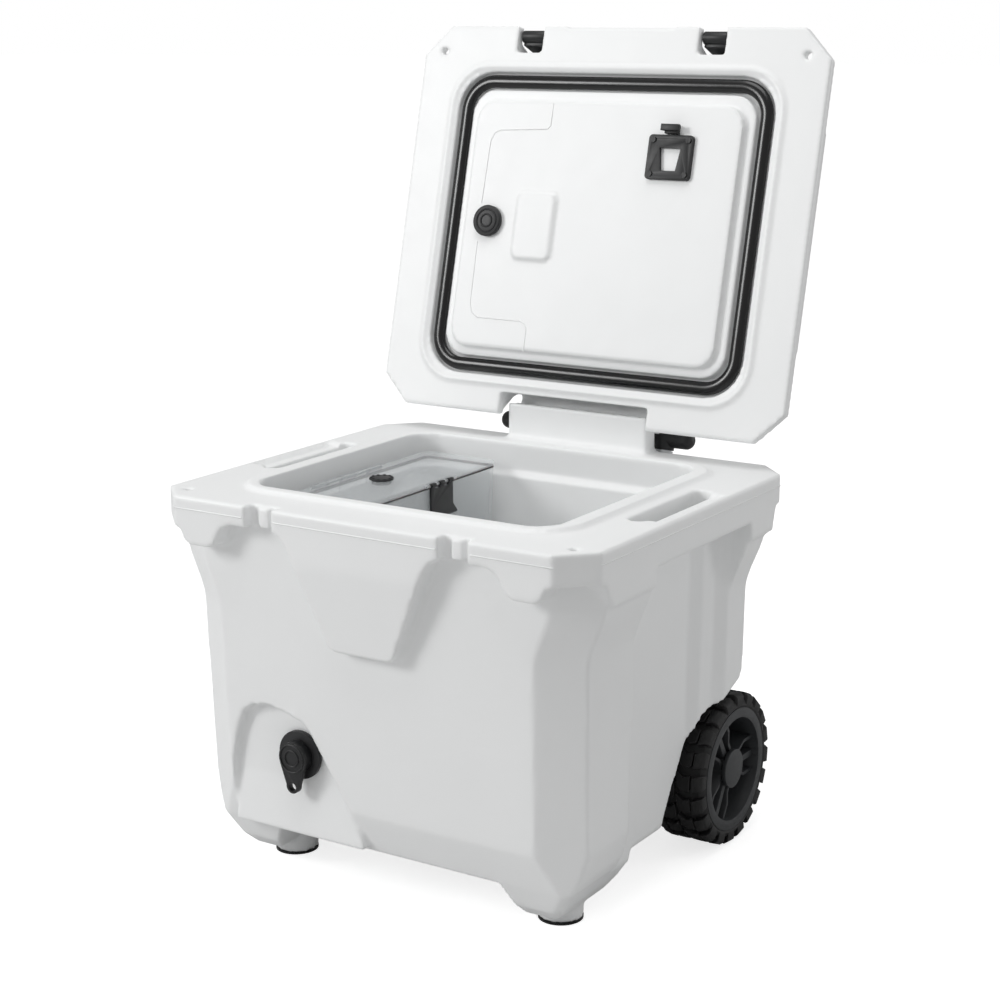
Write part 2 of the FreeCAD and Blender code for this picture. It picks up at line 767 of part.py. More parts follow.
def wheel_parts(word, side):
    """Tyre, wheel and hub cap, drawn about the axle and moved into place."""
    def disc(name, radius, near, far):
        cylinder = doc.addObject("Part::Cylinder", name)
        low, high = sides(side, near, far)
        cylinder.Placement = Placement(ORIGIN, Rotation(Y_AXIS, 90))
        bind(cylinder, Radius=radius, Height=f"({high}) - ({low})", Placement__Base__x=low)
        return cylinder

    inner = "wheel_out - tyre_wide"
    tread = rounded(f"tread_{word}", disc(f"tyre_disc_{word}", "wheel_radius", inner, "wheel_out"), 7,
                    lambda edge: len(edge.Vertexes) == 1)
    tyre = cut(f"tyre_ring_{word}", tread, disc(f"tyre_bore_{word}", "tyre_inner", f"{inner} - 1", "wheel_out + 1"))
    tyre.Placement.Base = WHEEL_AT
    piece(f"tyre_{word}", tyre)

    barrel = cut(f"barrel_{word}", disc(f"barrel_disc_{word}", "tyre_inner", f"{inner} + 3", "wheel_out - 1"),
                 disc(f"barrel_hollow_{word}", "tyre_inner - 12", f"{inner} + 2", "wheel_out"))
    parts = [
        barrel,
        disc(f"wheel_web_{word}", "tyre_inner - 11.5", f"{inner} + 26", f"{inner} + 31"),
        disc(f"hub_{word}", 19.5, f"{inner} + 2", "wheel_out - 8"),
    ]
    out = "tyre_inner - 11.5"
    for turn in range(SPOKE_GROUPS):
        at = Placement(ORIGIN, Rotation(X_AXIS, -90 + 120 * turn))
        ribs = [spoke(f"rib_{word}_{turn}", side, [(0, 4), (0, out)], 3.9)]
        for lean in (-1, 1):
            line = [(lean * 14, 9), (lean * 14, 28), (lean * 21.7, 41), (lean * 21.7, "tyre_inner - 14")]
            ribs.append(spoke(f"kinked_{word}_{turn}_{lean + 1}", side, line, 2))
        parts += [turned(rib.Name + "_turned", rib, at) for rib in ribs]
    bore = disc(f"wheel_bore_{word}", "axle_radius + 0.06", f"{inner} - 1", "wheel_out")
    pocket = disc(f"hub_pocket_{word}", 13, "wheel_out - 16", "wheel_out")
    wheel = cut(f"wheel_{word}_bored", fuse(f"wheel_solid_{word}", *parts), bore, pocket)
    wheel.Placement.Base = WHEEL_AT
    piece(f"wheel_rim_{word}", wheel)

    cap = cut(f"hub_cap_cut_{word}", disc(f"cap_face_{word}", 24, "wheel_out - 7.9", "wheel_out - 2.5"),
              disc(f"cap_hollow_{word}", 12.5, "wheel_out - 9", "wheel_out - 5"))
    cap.Placement.Base = WHEEL_AT
    piece(f"hub_cap_{word}", cap)


def spoke(name, side, line, half):
    """A rib that follows a line of (across, outward) points, in the wheel's own plane."""
    ahead = [(f"({across}) + {half}", out) for across, out in line]
    behind = [(f"({across}) - {half}", out) for across, out in reversed(line)]
    body = doc.addObject("PartDesign::Body", name)
    low, high = sides(side, "wheel_out - tyre_wide + 30", "wheel_out - 10")
    # outlines in this plane have their depth moved by mid_y, which the wheel's own plane has not
    points = [(f"{across} - mid_y", out) for across, out in ahead + behind]
    sketch = sketch_in(body, "YZ", points, low)
    pad = body.newObject("PartDesign::Pad", name + "_pad")
    pad.Profile = sketch
    bind(pad, Length=f"({high}) - ({low})")
    return body


def make_axle():
    at = {"y": "wheel_y", "z": "wheel_radius"}
    piece("axle", rod("axle_rod", "X", "axle_radius", ("-wheel_out + 8", "wheel_out - 8"), **at))
    named = {"axle_bushes": [], "axle_washers": [], "axle_retainers": []}
    for word, side in SIDES.items():
        named["axle_bushes"].append(ring(f"bush_{word}", "X", "bush_radius", "axle_radius",
                                         sides(side, "well_in - 16", "well_in"), **at))
        named["axle_washers"].append(ring(f"washer_{word}", "X", 14, "axle_radius",
                                          sides(side, "well_in + 0.5", "wheel_out - tyre_wide + 1.5"), **at))
        named["axle_retainers"].append(ring(f"retainer_{word}", "X", 10, "axle_radius",
                                            sides(side, "wheel_out - 15.5", "wheel_out - 12"), **at))
    for label, rings in named.items():
        piece(label, group(label + "_group", *rings))


# ---------------------------------------------------------------- handle
def tube_pair(name, outer, inner, ends):
    tubes = []
    for word, side in SIDES.items():
        tubes.append(cut(f"{name}_{word}", leaning_rod(f"{name}_outer_{word}", outer, ends, side),
                         leaning_rod(f"{name}_inner_{word}", inner, (f"({ends[0]}) - 1", f"({ends[1]}) + 1"), side)))
    return tubes


def lean_block(name, x, y, z):
    """A box in the handle's own leaning frame."""
    return turned(name + "_leaning", block(name, x, (f"({y[0]}) - mid_y", f"({y[1]}) - mid_y"), z), TUBE_LEAN)


def lean_bar(name, radius, half, at):
    """A bar across the handle at a distance along its tubes."""
    bar = rod(name, "X", radius, (f"-({half})", half), y="-mid_y", z=at)
    return rounded(name + "_ends", bar, f"({radius}) - 1", lambda edge: len(edge.Vertexes) == 1)


def make_handle():
    piece("handle_outer_tubes", group("handle_outer_group",
                                      *tube_pair("outer_tube", "tube_outer", f"tube_middle + {FIT}", (0, "tube_long"))))
    piece("handle_middle_tubes", group("handle_middle_group",
                                       *tube_pair("middle_tube", "tube_middle", f"tube_inner + {FIT}",
                                                  (6, "tube_long + 3"))))
    piece("handle_inner_tubes", group("handle_inner_group",
                                      *tube_pair("inner_tube", "tube_inner", "tube_inner - tube_wall",
                                                 (12, "grip_at - 4"))))
    bar = turned("grip_bar_leaning", lean_bar("grip_bar", "grip_radius", "grip_half", "grip_at"), TUBE_LEAN)
    sockets = [leaning_rod(f"grip_socket_{word}", "tube_outer - 0.5", ("tube_long + 4", "grip_at + 4"), side)
               for word, side in SIDES.items()]
    bores = [leaning_rod(f"grip_bore_{word}", "tube_inner", ("tube_long", "grip_at - 4"), side)
             for word, side in SIDES.items()]
    pocket = lean_block("button_pocket", (-22.3, 22.3), (-6.3, 6.3), ("grip_at - 1", "grip_at + 20"))
    piece("handle_grip", cut("handle_grip_cut", fuse("handle_grip_solid", bar, *sockets), *bores, pocket))
    piece("handle_button", lean_block("button_block", (-22, 22), (-6, 6), ("grip_at + 4", "grip_at + 13")))

    for word, low, high, reach in (("upper", 384, 410, 34), ("lower", 214, 238, 12)):
        plate = block(f"bracket_{word}_plate", (-132, 132), ("back_top", "back_top + 6"), (low, high))
        arms = [block(f"bracket_{word}_arm_{name}", span(f"{side} * tube_x", 40),
                      ("back_top", f"back_top + {reach}"), (low, high)) for name, side in SIDES.items()]
        clear = [leaning_rod(f"bracket_{word}_bore_{name}", "tube_outer", (-20, 330), side)
                 for name, side in SIDES.items()]
        shape = cut(f"bracket_{word}_cut", fuse(f"bracket_{word}_solid", plate, *arms), *clear,
                    *bracket_shanks(f"bracket_{word}_hole"))
        piece(f"handle_bracket_{word}", shape)
    screws = []
    heads = screw_rods("bracket_head", BRACKET_SPOTS, 5, ("back_top + 6", "back_top + 9"), "Y")
    for shank, head in zip(bracket_shanks("bracket_shank"), heads):
        screws.append(fuse(shank.Name + "_screw", shank, head))
    piece("handle_screws", group("handle_screw_group", *screws))


# ---------------------------------------------------------------- lid, drawn closed
def lid_piece(label, shape):
    """A piece that opens with the lid."""
    held = shape if shape.TypeId in ("Part::Cut", "Part::MultiFuse") else group(label + "_held", shape)
    held.Placement = LID_OPEN
    return piece(label, held)


def dome_section(half, front, back, across):
    """The lid's raised middle: a rectangle with long slanted corners."""
    along = across * 0.95
    right = [
        (f"{half} - {across}", f"-({front})"),
        (half, f"-({front}) + {along}"),
        (half, f"{back} - {along}"),
        (f"{half} - {across}", back),
    ]
    left = [(f"-({out})", up) for out, up in reversed(right)]
    return right + left


def gasket_ring(name, grow, low, high):
    """A ring that follows the gasket's path, thicker by a margin on each side."""
    outer = rounded(name + "_outer", block(name + "_outer_block", (f"-223 - {grow}", f"223 + {grow}"),
                                           (f"-187 - {grow}", f"197 + {grow}"), (low, high)), f"46 + {grow}", upright)
    inner = rounded(name + "_inner", block(name + "_inner_block", (f"-206 + {grow}", f"206 - {grow}"),
                                           (f"-170 + {grow}", f"180 - {grow}"), (f"{low} - 1", f"{high} + 1")),
                    f"30 + {grow}", upright)
    return cut(name, outer, inner)


DOCK_X = (68, 129)
DOCK_Y = (-114, -59)
KNOB_SPOT = {"x": -152, "y": 4}


def make_lid():
    solids = [
        prism("lid_plate", "XY", octagon("rim_wide / 2", "-rim_deep / 2 + 0.7", "rim_deep / 2 - 2", "rim_corner"),
              ("lid_low", "lid_low + lid_flange")),
        loft("lid_dome", [
            ("lid_low + lid_flange - 1", dome_section(282, 229, 243, 88)),
            ("lid_top - 12", dome_section(276, 215, 216, 88)),
            ("lid_top", dome_section(262, 200, 194, 80)),
        ]),
        rounded("lid_plug", block("lid_plug_block", (-190, 190), (-152, 166), ("plug_low", "lid_low + 5")), 26, upright),
    ]
    webs = [block("lid_web", ("-hinge_half", "hinge_half"), (198, "hinge_y + 8"), (506, 515))]
    for i, (low, high) in enumerate(knuckle_ends(1)):
        webs.append(rod(f"lid_knuckle_{i}", "X", "knuckle", (low, high), y="hinge_y", z="hinge_z"))
        webs.append(block(f"lid_drop_{i}", (low, high), ("hinge_y - 7", "hinge_y + 8"), ("hinge_z", 507)))
    hollows = [
        block("lid_back_notch", (-106, 106), (219.5, 262), ("lid_low - 9", "lid_top + 9")),
        block("lid_step", (-76, 76), ("-rim_deep / 2 - 9", "-rim_deep / 2 + 6"), ("lid_low - 9", "lid_low + 4")),
        gasket_ring("gasket_groove", 3, "lid_low - 2", "lid_low + 9"),
    ]
    for word, side in SIDES.items():
        hollows += [
            block(f"lid_notch_{word}", span(f"{side} * notch_x", "notch_wide"), ("-rim_deep / 2 - 9", -216),
                  ("lid_low - 9", "lid_top + 9")),
            rod(f"lid_lock_hole_{word}", "Z", "lock_radius", ("lid_low - 9", "lid_top"),
                x=f"{side} * lock_x", y="lock_y"),
        ]
    foam = loft("lid_foam_block", [
        ("lid_low + 14", dome_section(268, 198, 196, 84)),
        ("lid_top - 14", dome_section(262, 198, 196, 80)),
    ])
    shell = cut("lid_cut", fuse("lid_solid", *solids), *hollows)
    eyes = [rod(f"barrel_eye_{word}", "X", 2.5, span(f"{side} * notch_x", 52), y="latch_y", z="latch_z")
            for word, side in SIDES.items()]
    bore = rod("lid_hinge_bore", "X", f"pin_radius + {FIT}", ("-hinge_half - 9", "hinge_half + 9"),
               y="hinge_y", z="hinge_z")
    screws = dock_screw_rods("dock_hole")
    stud = rod("knob_hole", "Z", 5, ("plug_low - 1", "plug_low + 12"), **KNOB_SPOT)
    lid_piece("lid_skin", cut("lid_skin_cut", fuse("lid_with_webs", shell, *webs), foam, *eyes, bore, *screws, stud))
    lid_piece("lid_foam", foam)
    lid_piece("lid_gasket", gasket_ring("lid_gasket_ring", 0, "lid_low + 4", "lid_low + 9"))
    piece("hinge_pin", rod("hinge_pin_rod", "X", "pin_radius", ("-hinge_half", "hinge_half"),
                           y="hinge_y", z="hinge_z"))


DOCK_SCREW_INSET = 6.5


def dock_screw_rods(name, radius=1.8, ends=("plug_low - 6", "plug_low + 9")):
    spots = [(x, y, 0) for x in (DOCK_X[0] + DOCK_SCREW_INSET, DOCK_X[1] - DOCK_SCREW_INSET)
             for y in (DOCK_Y[0] + DOCK_SCREW_INSET, DOCK_Y[1] - DOCK_SCREW_INSET)]
    return screw_rods(name, spots, radius, ends, "Z")


def make_lid_fittings():
    """The small plate with a window, and the round knob, on the inside of the lid."""
    plate = rounded("dock_plate_round", block("dock_plate_block", DOCK_X, DOCK_Y, ("plug_low - 5", "plug_low")),
                    5, upright)
    window = prism("dock_window", "XY", [(84, -98), (113, -98), (109, -70), (88, -70)],
                   ("plug_low - 9", "plug_low + 3"))
    lid_piece("tap_dock_plate", cut("dock_cut", plate, window, *dock_screw_rods("dock_bore")))
    cleat = fuse("cleat_solid", block("cleat_foot", (90, 107), (-126, -115), ("plug_low - 9", "plug_low")),
                 block("cleat_hook", (86, 111), (-126, -118), ("plug_low - 13", "plug_low - 8")))
    lid_piece("tap_dock_cleat", cleat)
    screws = []
    heads = dock_screw_rods("dock_head", 3.4, ("plug_low - 6.5", "plug_low - 5"))
    for shank, head in zip(dock_screw_rods("dock_shank"), heads):
        screws.append(fuse(shank.Name + "_screw", shank, head))
    lid_piece("tap_dock_screws", group("dock_screw_group", *screws))
    knob = [rod("knob_disc", "Z", 20, ("plug_low - 7", "plug_low - 0.3"), **KNOB_SPOT),
            rod("knob_stud", "Z", f"5 - {FIT}", ("plug_low - 1", "plug_low + 11"), **KNOB_SPOT)]
    lid_piece("lid_knob", fuse("knob_solid", *knob))


def make_latches():
    """Two hooked arms on barrels in the lid's front edge, lying back over the lid while it is open."""
    for word, side in SIDES.items():
        centre = f"{side} * notch_x"
        at = {"y": "latch_y", "z": "latch_z"}
        parts = [
            rod(f"barrel_{word}_rod", "X", 8, span(centre, "latch_wide"), **at),
            block(f"arm_{word}", span(centre, "latch_wide - 2"), (-249.5, -243.5), (423, "latch_z")),
            block(f"hook_{word}", span(centre, "latch_wide - 6"), (-244, -236.5), (423, 431.5)),
            block(f"pull_{word}", span(centre, "latch_wide - 2"), (-255, -249), (415, 428)),
        ]
        bored = cut(f"latch_{word}_bored", fuse(f"latch_{word}_solid", *parts),
                    rod(f"latch_bore_{word}", "X", f"2.5 + {FIT}", span(centre, 40), **at))
        bored.Placement = LID_OPEN.multiply(LATCH_UP)
        piece(f"latch_{word}", bored)
    lid_piece("latch_pins", group("latch_pin_group", *[
        rod(f"latch_pin_{word}", "X", 2.5, span(f"{side} * notch_x", 52), y="latch_y", z="latch_z")
        for word, side in SIDES.items()
    ]))


# ---------------------------------------------------------------- drink tank
def tank_shape(name, inset, low, high):
    """The tank's outside, or its hollow, clear of the hump over the wheel."""
    def section(narrow):
        return (f"tank_left + {inset} + {narrow}", f"tank_right - {inset} - {narrow} / 2",
                f"tank_front + {inset} + {narrow}", f"tank_back - {inset} - {narrow}")
    main = rounded(name + "_round", tapered_block(name + "_block", section(11), section(0), (low, high)), 12, upright)
    notch = block(name + "_notch", ("tank_left - 30", f"-hump_in + 4 + {inset}"),
                  (f"hump_front - 5 - {inset}", "tank_back + 40"), ("tank_low - 30", f"hump_top + 4 + {inset}"))
    return cut(name, main, notch)


TANK_LATCH_Y = 31
TANK_KNUCKLES = 5
TANK_HINGE = {"x": "tank_left + 1.5", "z": "tank_lid_top - 3"}
TANK_LATCH = {"x": "tank_right + 4", "z": "tank_lid_top - 3"}
CAP_SPOT = {"x": -140, "y": 0}


def tank_knuckles(name, first):
    """Barrels along the tank lid's hinge, every second one."""
    made = []
    for i in range(first, TANK_KNUCKLES, 2):
        low = -70 + 28 * i
        made.append(rod(f"{name}_{i}", "Y", 3, (low + KNUCKLE_GAP, low + 28 - KNUCKLE_GAP), **TANK_HINGE))
    return made


def make_tank():
    outside = tank_shape("tank_outside", 0, "tank_low", "tank_top")
    inside = tank_shape("tank_inside", "tank_wall", "tank_low + tank_wall", "tank_top + 1")
    hinge_seats = [block(f"tank_seat_{i}", ("tank_left - 1.4", "tank_left + 2.9"),
                         (-70 + 28 * i + KNUCKLE_GAP, -42 + 28 * i - KNUCKLE_GAP),
                         ("tank_top - 12", TANK_HINGE["z"])) for i in range(0, TANK_KNUCKLES, 2)]
    catch = block("tank_catch", ("tank_right - 1", "tank_right + 1.4"), (TANK_LATCH_Y - 20, TANK_LATCH_Y + 20),
                  ("tank_top - 14", "tank_top - 11"))
    shell = cut("tank_shell", outside, inside)
    hinge_bore = rod("tank_hinge_bore", "Y", 1.5, (-80, 80), **TANK_HINGE)
    piece("tank_body", cut("tank_body_bored", fuse("tank_body_solid", shell, *tank_knuckles("tank_knuckle", 0),
                                                   *hinge_seats, catch), hinge_bore))

    band_outer = rounded("tank_band_outer", block("tank_band_block", ("tank_left + 5", "tank_right - 0.5"),
                                                  ("tank_front + 0.5", "tank_back - 0.5"),
                                                  ("tank_top", "tank_top + 2.3")), 10, upright)
    band_inner = rounded("tank_band_inner", block("tank_band_hollow", ("tank_left + 10", "tank_right - 5"),
                                                  ("tank_front + 5", "tank_back - 5"),
                                                  ("tank_top - 1", "tank_top + 4")), 8, upright)
    piece("tank_gasket", cut("tank_gasket_ring", band_outer, band_inner))

    cover = rounded("tank_cover_round", block("tank_cover_block", ("tank_left + 5.5", "tank_right"),
                                              ("tank_front", "tank_back"), ("tank_top + 2.4", "tank_lid_top")),
                    10, upright)
    webs = [block(f"tank_cover_web_{i}", (TANK_HINGE["x"], "tank_left + 8"),
                  (-70 + 28 * i + KNUCKLE_GAP, -42 + 28 * i - KNUCKLE_GAP), ("tank_lid_top - 4.5", "tank_lid_top - 1"))
            for i in range(1, TANK_KNUCKLES, 2)]
    ears = [block(f"latch_ear_{i}", ("tank_right - 2", TANK_LATCH["x"]),
                  (TANK_LATCH_Y - 28 + 18.5 * i, TANK_LATCH_Y - 20 + 18.5 * i), ("tank_lid_top - 5", "tank_lid_top - 1"))
            for i in range(4)]
    holes = [
        rod("tank_cap_hole", "Z", 12.1, ("tank_top", "tank_lid_top + 5"), **CAP_SPOT),
        rod("cover_hinge_bore", "Y", f"1.5 + {FIT}", (-80, 80), **TANK_HINGE),
        rod("latch_pin_bore", "Y", 1.2, (TANK_LATCH_Y - 40, TANK_LATCH_Y + 40), **TANK_LATCH),
    ]
    piece("tank_lid", cut("tank_lid_cut", fuse("tank_lid_solid", cover, *tank_knuckles("cover_knuckle", 1),
                                               *webs, *ears), *holes))
    piece("tank_hinge_pin", rod("tank_pin_rod", "Y", 1.5, (-70, 70), **TANK_HINGE))
    piece("tank_latch_pin", rod("tank_latch_rod", "Y", 1.2, (TANK_LATCH_Y - 28, TANK_LATCH_Y + 35.5), **TANK_LATCH))

    rolls = [rod(f"flap_roll_{i}", "Y", 3, (TANK_LATCH_Y - 19.6 + 18.5 * i, TANK_LATCH_Y - 9.9 + 18.5 * i),
                 **TANK_LATCH) for i in range(3)]
    flap = block("flap_plate", ("tank_right + 2.4", "tank_right + 5.4"), (TANK_LATCH_Y - 19.6, TANK_LATCH_Y + 27.1),
                 ("tank_top - 26", "tank_top"))
    necks = [block(f"flap_neck_{i}", ("tank_right + 2.4", "tank_right + 5.4"),
                   (TANK_LATCH_Y - 19.6 + 18.5 * i, TANK_LATCH_Y - 9.9 + 18.5 * i),
                   ("tank_top - 1", TANK_LATCH["z"])) for i in range(3)]
    lip = prism("flap_lip", "XZ", [
        ("tank_right + 2.4", "tank_top - 26"),
        ("tank_right + 10", "tank_top - 35"),
        ("tank_right + 12", "tank_top - 33"),
        ("tank_right + 5.4", "tank_top - 24"),
    ], (TANK_LATCH_Y - 19.6, TANK_LATCH_Y + 27.1))
    bore = rod("flap_bore", "Y", f"1.2 + {FIT}", (TANK_LATCH_Y - 40, TANK_LATCH_Y + 40), **TANK_LATCH)
    piece("tank_latch", cut("tank_latch_cut", fuse("tank_latch_solid", *rolls, flap, *necks, lip), bore))

    cap = [rod("cap_stem", "Z", 12, ("tank_top + 3", "tank_lid_top + 0.4"), **CAP_SPOT),
           rod("cap_head", "Z", 15, ("tank_lid_top + 0.3", "tank_lid_top + 2.8"), **CAP_SPOT)]
    piece("tank_cap", fuse("tank_cap_solid", *cap))


# ---------------------------------------------------------------- make, check and write
def check():
    """Stop if anything failed to compute."""
    for obj in doc.Objects:
        if "Invalid" in obj.State or "Error" in obj.State:
            raise RuntimeError(f"{obj.Name} failed: {obj.State}")
    for shape in pieces:
        if shape.Shape.isNull() or not shape.Shape.isValid():
            raise RuntimeError(f"{shape.Label} has a bad shape")


def write():
    os.makedirs("parts", exist_ok=True)
    for shape in pieces:
        solids = shape.Shape.Solids
        print(f"{shape.Label}: {len(solids)} solids, {shape.Shape.Volume / 1000:.1f} cm3")
        shape.Shape.exportStep(f"parts/{shape.Label}.step")


make_body()
make_feet()
make_drain()
for wheel_word, wheel_side in SIDES.items():
    wheel_parts(wheel_word, wheel_side)
make_axle()
make_handle()
make_lid()
make_lid_fittings()
make_latches()
make_tank()
doc.recompute()
check()
write()
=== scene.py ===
"""Looks of a wheeled hard cooler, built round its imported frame.

It is laid out as an add-on and run as a script. Lengths in the property groups are in metres.
Lid pieces are drawn with the lid closed and then turned about its hinge to where the frame has it.
"""
import json
import math

import bmesh
import bpy
from bpy.props import FloatProperty, FloatVectorProperty, IntProperty, PointerProperty
from mathutils import Matrix, Vector


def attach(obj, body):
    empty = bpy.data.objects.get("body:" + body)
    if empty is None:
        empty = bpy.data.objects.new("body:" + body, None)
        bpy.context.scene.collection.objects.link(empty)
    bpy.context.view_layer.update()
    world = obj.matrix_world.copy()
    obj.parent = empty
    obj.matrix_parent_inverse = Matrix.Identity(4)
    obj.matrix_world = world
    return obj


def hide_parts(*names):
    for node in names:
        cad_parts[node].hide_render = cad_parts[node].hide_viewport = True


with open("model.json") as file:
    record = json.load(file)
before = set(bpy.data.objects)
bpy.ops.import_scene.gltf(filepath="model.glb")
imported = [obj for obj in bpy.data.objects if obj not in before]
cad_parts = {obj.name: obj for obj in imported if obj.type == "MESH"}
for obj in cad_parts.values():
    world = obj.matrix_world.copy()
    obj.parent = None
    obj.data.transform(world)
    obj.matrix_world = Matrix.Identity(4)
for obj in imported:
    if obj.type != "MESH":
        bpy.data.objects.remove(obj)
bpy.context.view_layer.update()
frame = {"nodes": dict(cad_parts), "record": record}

bl_info = {
    "name": "Wheeled hard cooler",
    "version": (1, 0, 0),
    "blender": (4, 5, 0),
    "location": "3D View > Sidebar > Cooler",
    "description": "Builds the looks of a moulded cooler with a drink tank, wheels and pull handle",
    "category": "Object",
}

MM = 0.001
MID_Y = -70
SIDES = {"left": -1, "right": 1}


def linear(code):
    """Linear RGB of an sRGB hex colour."""
    levels = [int(code[i:i + 2], 16) / 255 for i in (0, 2, 4)]
    return tuple(v / 12.92 if v <= 0.04045 else ((v + 0.055) / 1.055) ** 2.4 for v in levels)


# ---------------------------------------------------------------- settings
def colour_setting(name, text, code):
    return FloatVectorProperty(name=name, description=text, subtype="COLOR", size=3, min=0, max=1,
                               default=linear(code))


def length_setting(name, text, millimetres):
    return FloatProperty(name=name, description=text, subtype="DISTANCE", unit="LENGTH", min=0,
                         default=millimetres * MM)


class CoolerSizes(bpy.types.PropertyGroup):
    """Sizes of the moulding's softness, the seals and the tread."""
    body_grid: length_setting("Body grid", "Spacing of the body moulding's surface points", 3.0)
    lid_grid: length_setting("Lid grid", "Spacing of the lid moulding's surface points", 2.4)
    softness: IntProperty(name="Softness", description="Smoothing passes over mouldings", default=2, min=0)
    gasket_wide: length_setting("Gasket width", "Half the width of the lid's gasket", 8.3)
    gasket_deep: length_setting("Gasket depth", "Half the depth of the lid's gasket", 5.0)
    seam: length_setting("Parting line", "Radius of the mould's parting line", 0.8)
    lug_count: IntProperty(name="Tread blocks", description="Shoulder blocks round a tyre", default=20, min=3)
    edge: length_setting("Eased edge", "Width of the small rounding on moulded fittings", 0.7)


class CoolerColours(bpy.types.PropertyGroup):
    """Colours of the finishes."""
    shell: colour_setting("Shell", "White polyethylene of body and lid", "F1F2F2")
    foam: colour_setting("Foam", "Insulating foam", "E6D9A8")
    nylon: colour_setting("Nylon", "Black fittings", "101113")
    wheel: colour_setting("Wheel", "Charcoal wheels and hub caps", "2C2E30")
    tyre: colour_setting("Tyre", "Tyre rubber", "0C0C0D")
    rubber: colour_setting("Rubber", "Seals and feet", "050506")
    clear: colour_setting("Tank", "Clear drink tank", "F4F8FA")
    silicone: colour_setting("Tank seal", "Grey seal of the drink tank", "4A4C4E")
    aluminium: colour_setting("Aluminium", "Handle tubes", "C9CBCD")
    zinc: colour_setting("Zinc", "Screws, pins and axle", "B9BBBC")
    floor: colour_setting("Floor", "Studio floor", "D2D2D2")


class CoolerStage(bpy.types.PropertyGroup):
    """Camera and light."""
    eye: FloatVectorProperty(name="Camera", description="Place of the camera", subtype="TRANSLATION",
                             unit="LENGTH", default=(1.30782, -2.06368, 1.00515))
    azimuth: FloatProperty(name="Azimuth", description="Turn of the camera from the front", subtype="ANGLE",
                           unit="ROTATION", default=math.radians(32.6485))
    elevation: FloatProperty(name="Elevation", description="Downward tilt of the camera", subtype="ANGLE",
                             unit="ROTATION", default=math.radians(13.4512))
    roll: FloatProperty(name="Roll", description="Roll of the camera", subtype="ANGLE", unit="ROTATION",
                        default=math.radians(-0.215))
    lens: FloatProperty(name="Lens", description="Focal length", subtype="DISTANCE_CAMERA", default=74.94)
    key_power: FloatProperty(name="Key light", description="Power of the main soft light", subtype="POWER",
                             unit="POWER", default=66)
    sky: FloatProperty(name="Surround", description="Light from the white surround", default=0.45, min=0)
    backdrop: FloatProperty(name="Backdrop", description="How white the surround looks", default=1.0, min=0)
    glow: FloatProperty(name="Floor glow", description="Whiteness added to the floor", default=0.74, min=0)


def sizes():
    return bpy.context.scene.cooler_sizes


def colours():
    return bpy.context.scene.cooler_colours


# ---------------------------------------------------------------- materials
def add_node(tree, kind, values=None, links=None, **settings):
    """A node with its settings, input values and incoming links."""
    node = tree.nodes.new(kind)
    for name, value in settings.items():
        setattr(node, name, value)
    for name, value in (values or {}).items():
        node.inputs[name].default_value = value
    for name, socket in (links or {}).items():
        tree.links.new(socket, node.inputs[name])
    return node


def blank_material(name):
    material = bpy.data.materials.new(name)
    material.use_nodes = True
    material.node_tree.nodes.clear()
    return material, material.node_tree


def finish_material(tree, shader):
    add_node(tree, "ShaderNodeOutputMaterial", links={"Surface": shader.outputs[0]})


def mottled(tree, coords, colour, amount, patch):
    """The colour, drifting lighter and darker in patches of the given size in metres."""
    noise = add_node(tree, "ShaderNodeTexNoise", {"Scale": 1 / patch, "Detail": 3.0, "Roughness": 0.55},
                     {"Vector": coords})
    dark = [v * (1 - amount) for v in colour] + [1]
    light = [min(v * (1 + amount), 1) for v in colour] + [1]
    mix = add_node(tree, "ShaderNodeMix", data_type="RGBA", links={"Factor": noise.outputs["Fac"]})
    mix.inputs[6].default_value = dark
    mix.inputs[7].default_value = light
    return mix.outputs[2]


def grained(tree, coords, grain, height, under=None):
    """A bump of moulded grain, of the given width and height in metres."""
    noise = add_node(tree, "ShaderNodeTexNoise", {"Scale": 1 / grain, "Detail": 2.0}, {"Vector": coords})
    links = {"Height": noise.outputs["Fac"]}
    if under is not None:
        links["Normal"] = under
    bump = add_node(tree, "ShaderNodeBump", {"Strength": 1.0, "Distance": height}, links)
    return bump.outputs["Normal"]


def roughness_range(tree, coords, low, high, patch):
    """Roughness that wanders between two values in patches of the given size in metres."""
    noise = add_node(tree, "ShaderNodeTexNoise", {"Scale": 1 / patch, "Detail": 4.0}, {"Vector": coords})
    spread = add_node(tree, "ShaderNodeMapRange", {"To Min": low, "To Max": high},
                      {"Value": noise.outputs["Fac"]})
    return spread.outputs["Result"]


def coordinates(tree):
    return add_node(tree, "ShaderNodeTexCoord").outputs["Object"]


def moulded_polyethylene():
    """Rotomoulded white polyethylene: satin, with orange peel from the mould and a slow waviness
    from shrinking as it cools, which softens every reflection."""
    material, tree = blank_material("moulded_polyethylene")
    coords = coordinates(tree)
    wave = grained(tree, coords, 60 * MM, 0.5 * MM)
    # real orange peel is about 0.8 mm across; it is drawn at 1.6 mm so that it shows
    peel = grained(tree, coords, 1.6 * MM, 0.035 * MM, wave)
    shader = add_node(tree, "ShaderNodeBsdfPrincipled", {"IOR": 1.53, "Specular IOR Level": 0.45}, {
        "Base Color": mottled(tree, coords, colours().shell, 0.012, 90 * MM),
        "Roughness": roughness_range(tree, coords, 0.36, 0.46, 25 * MM),
        "Normal": peel,
    })
    finish_material(tree, shader)
    return material


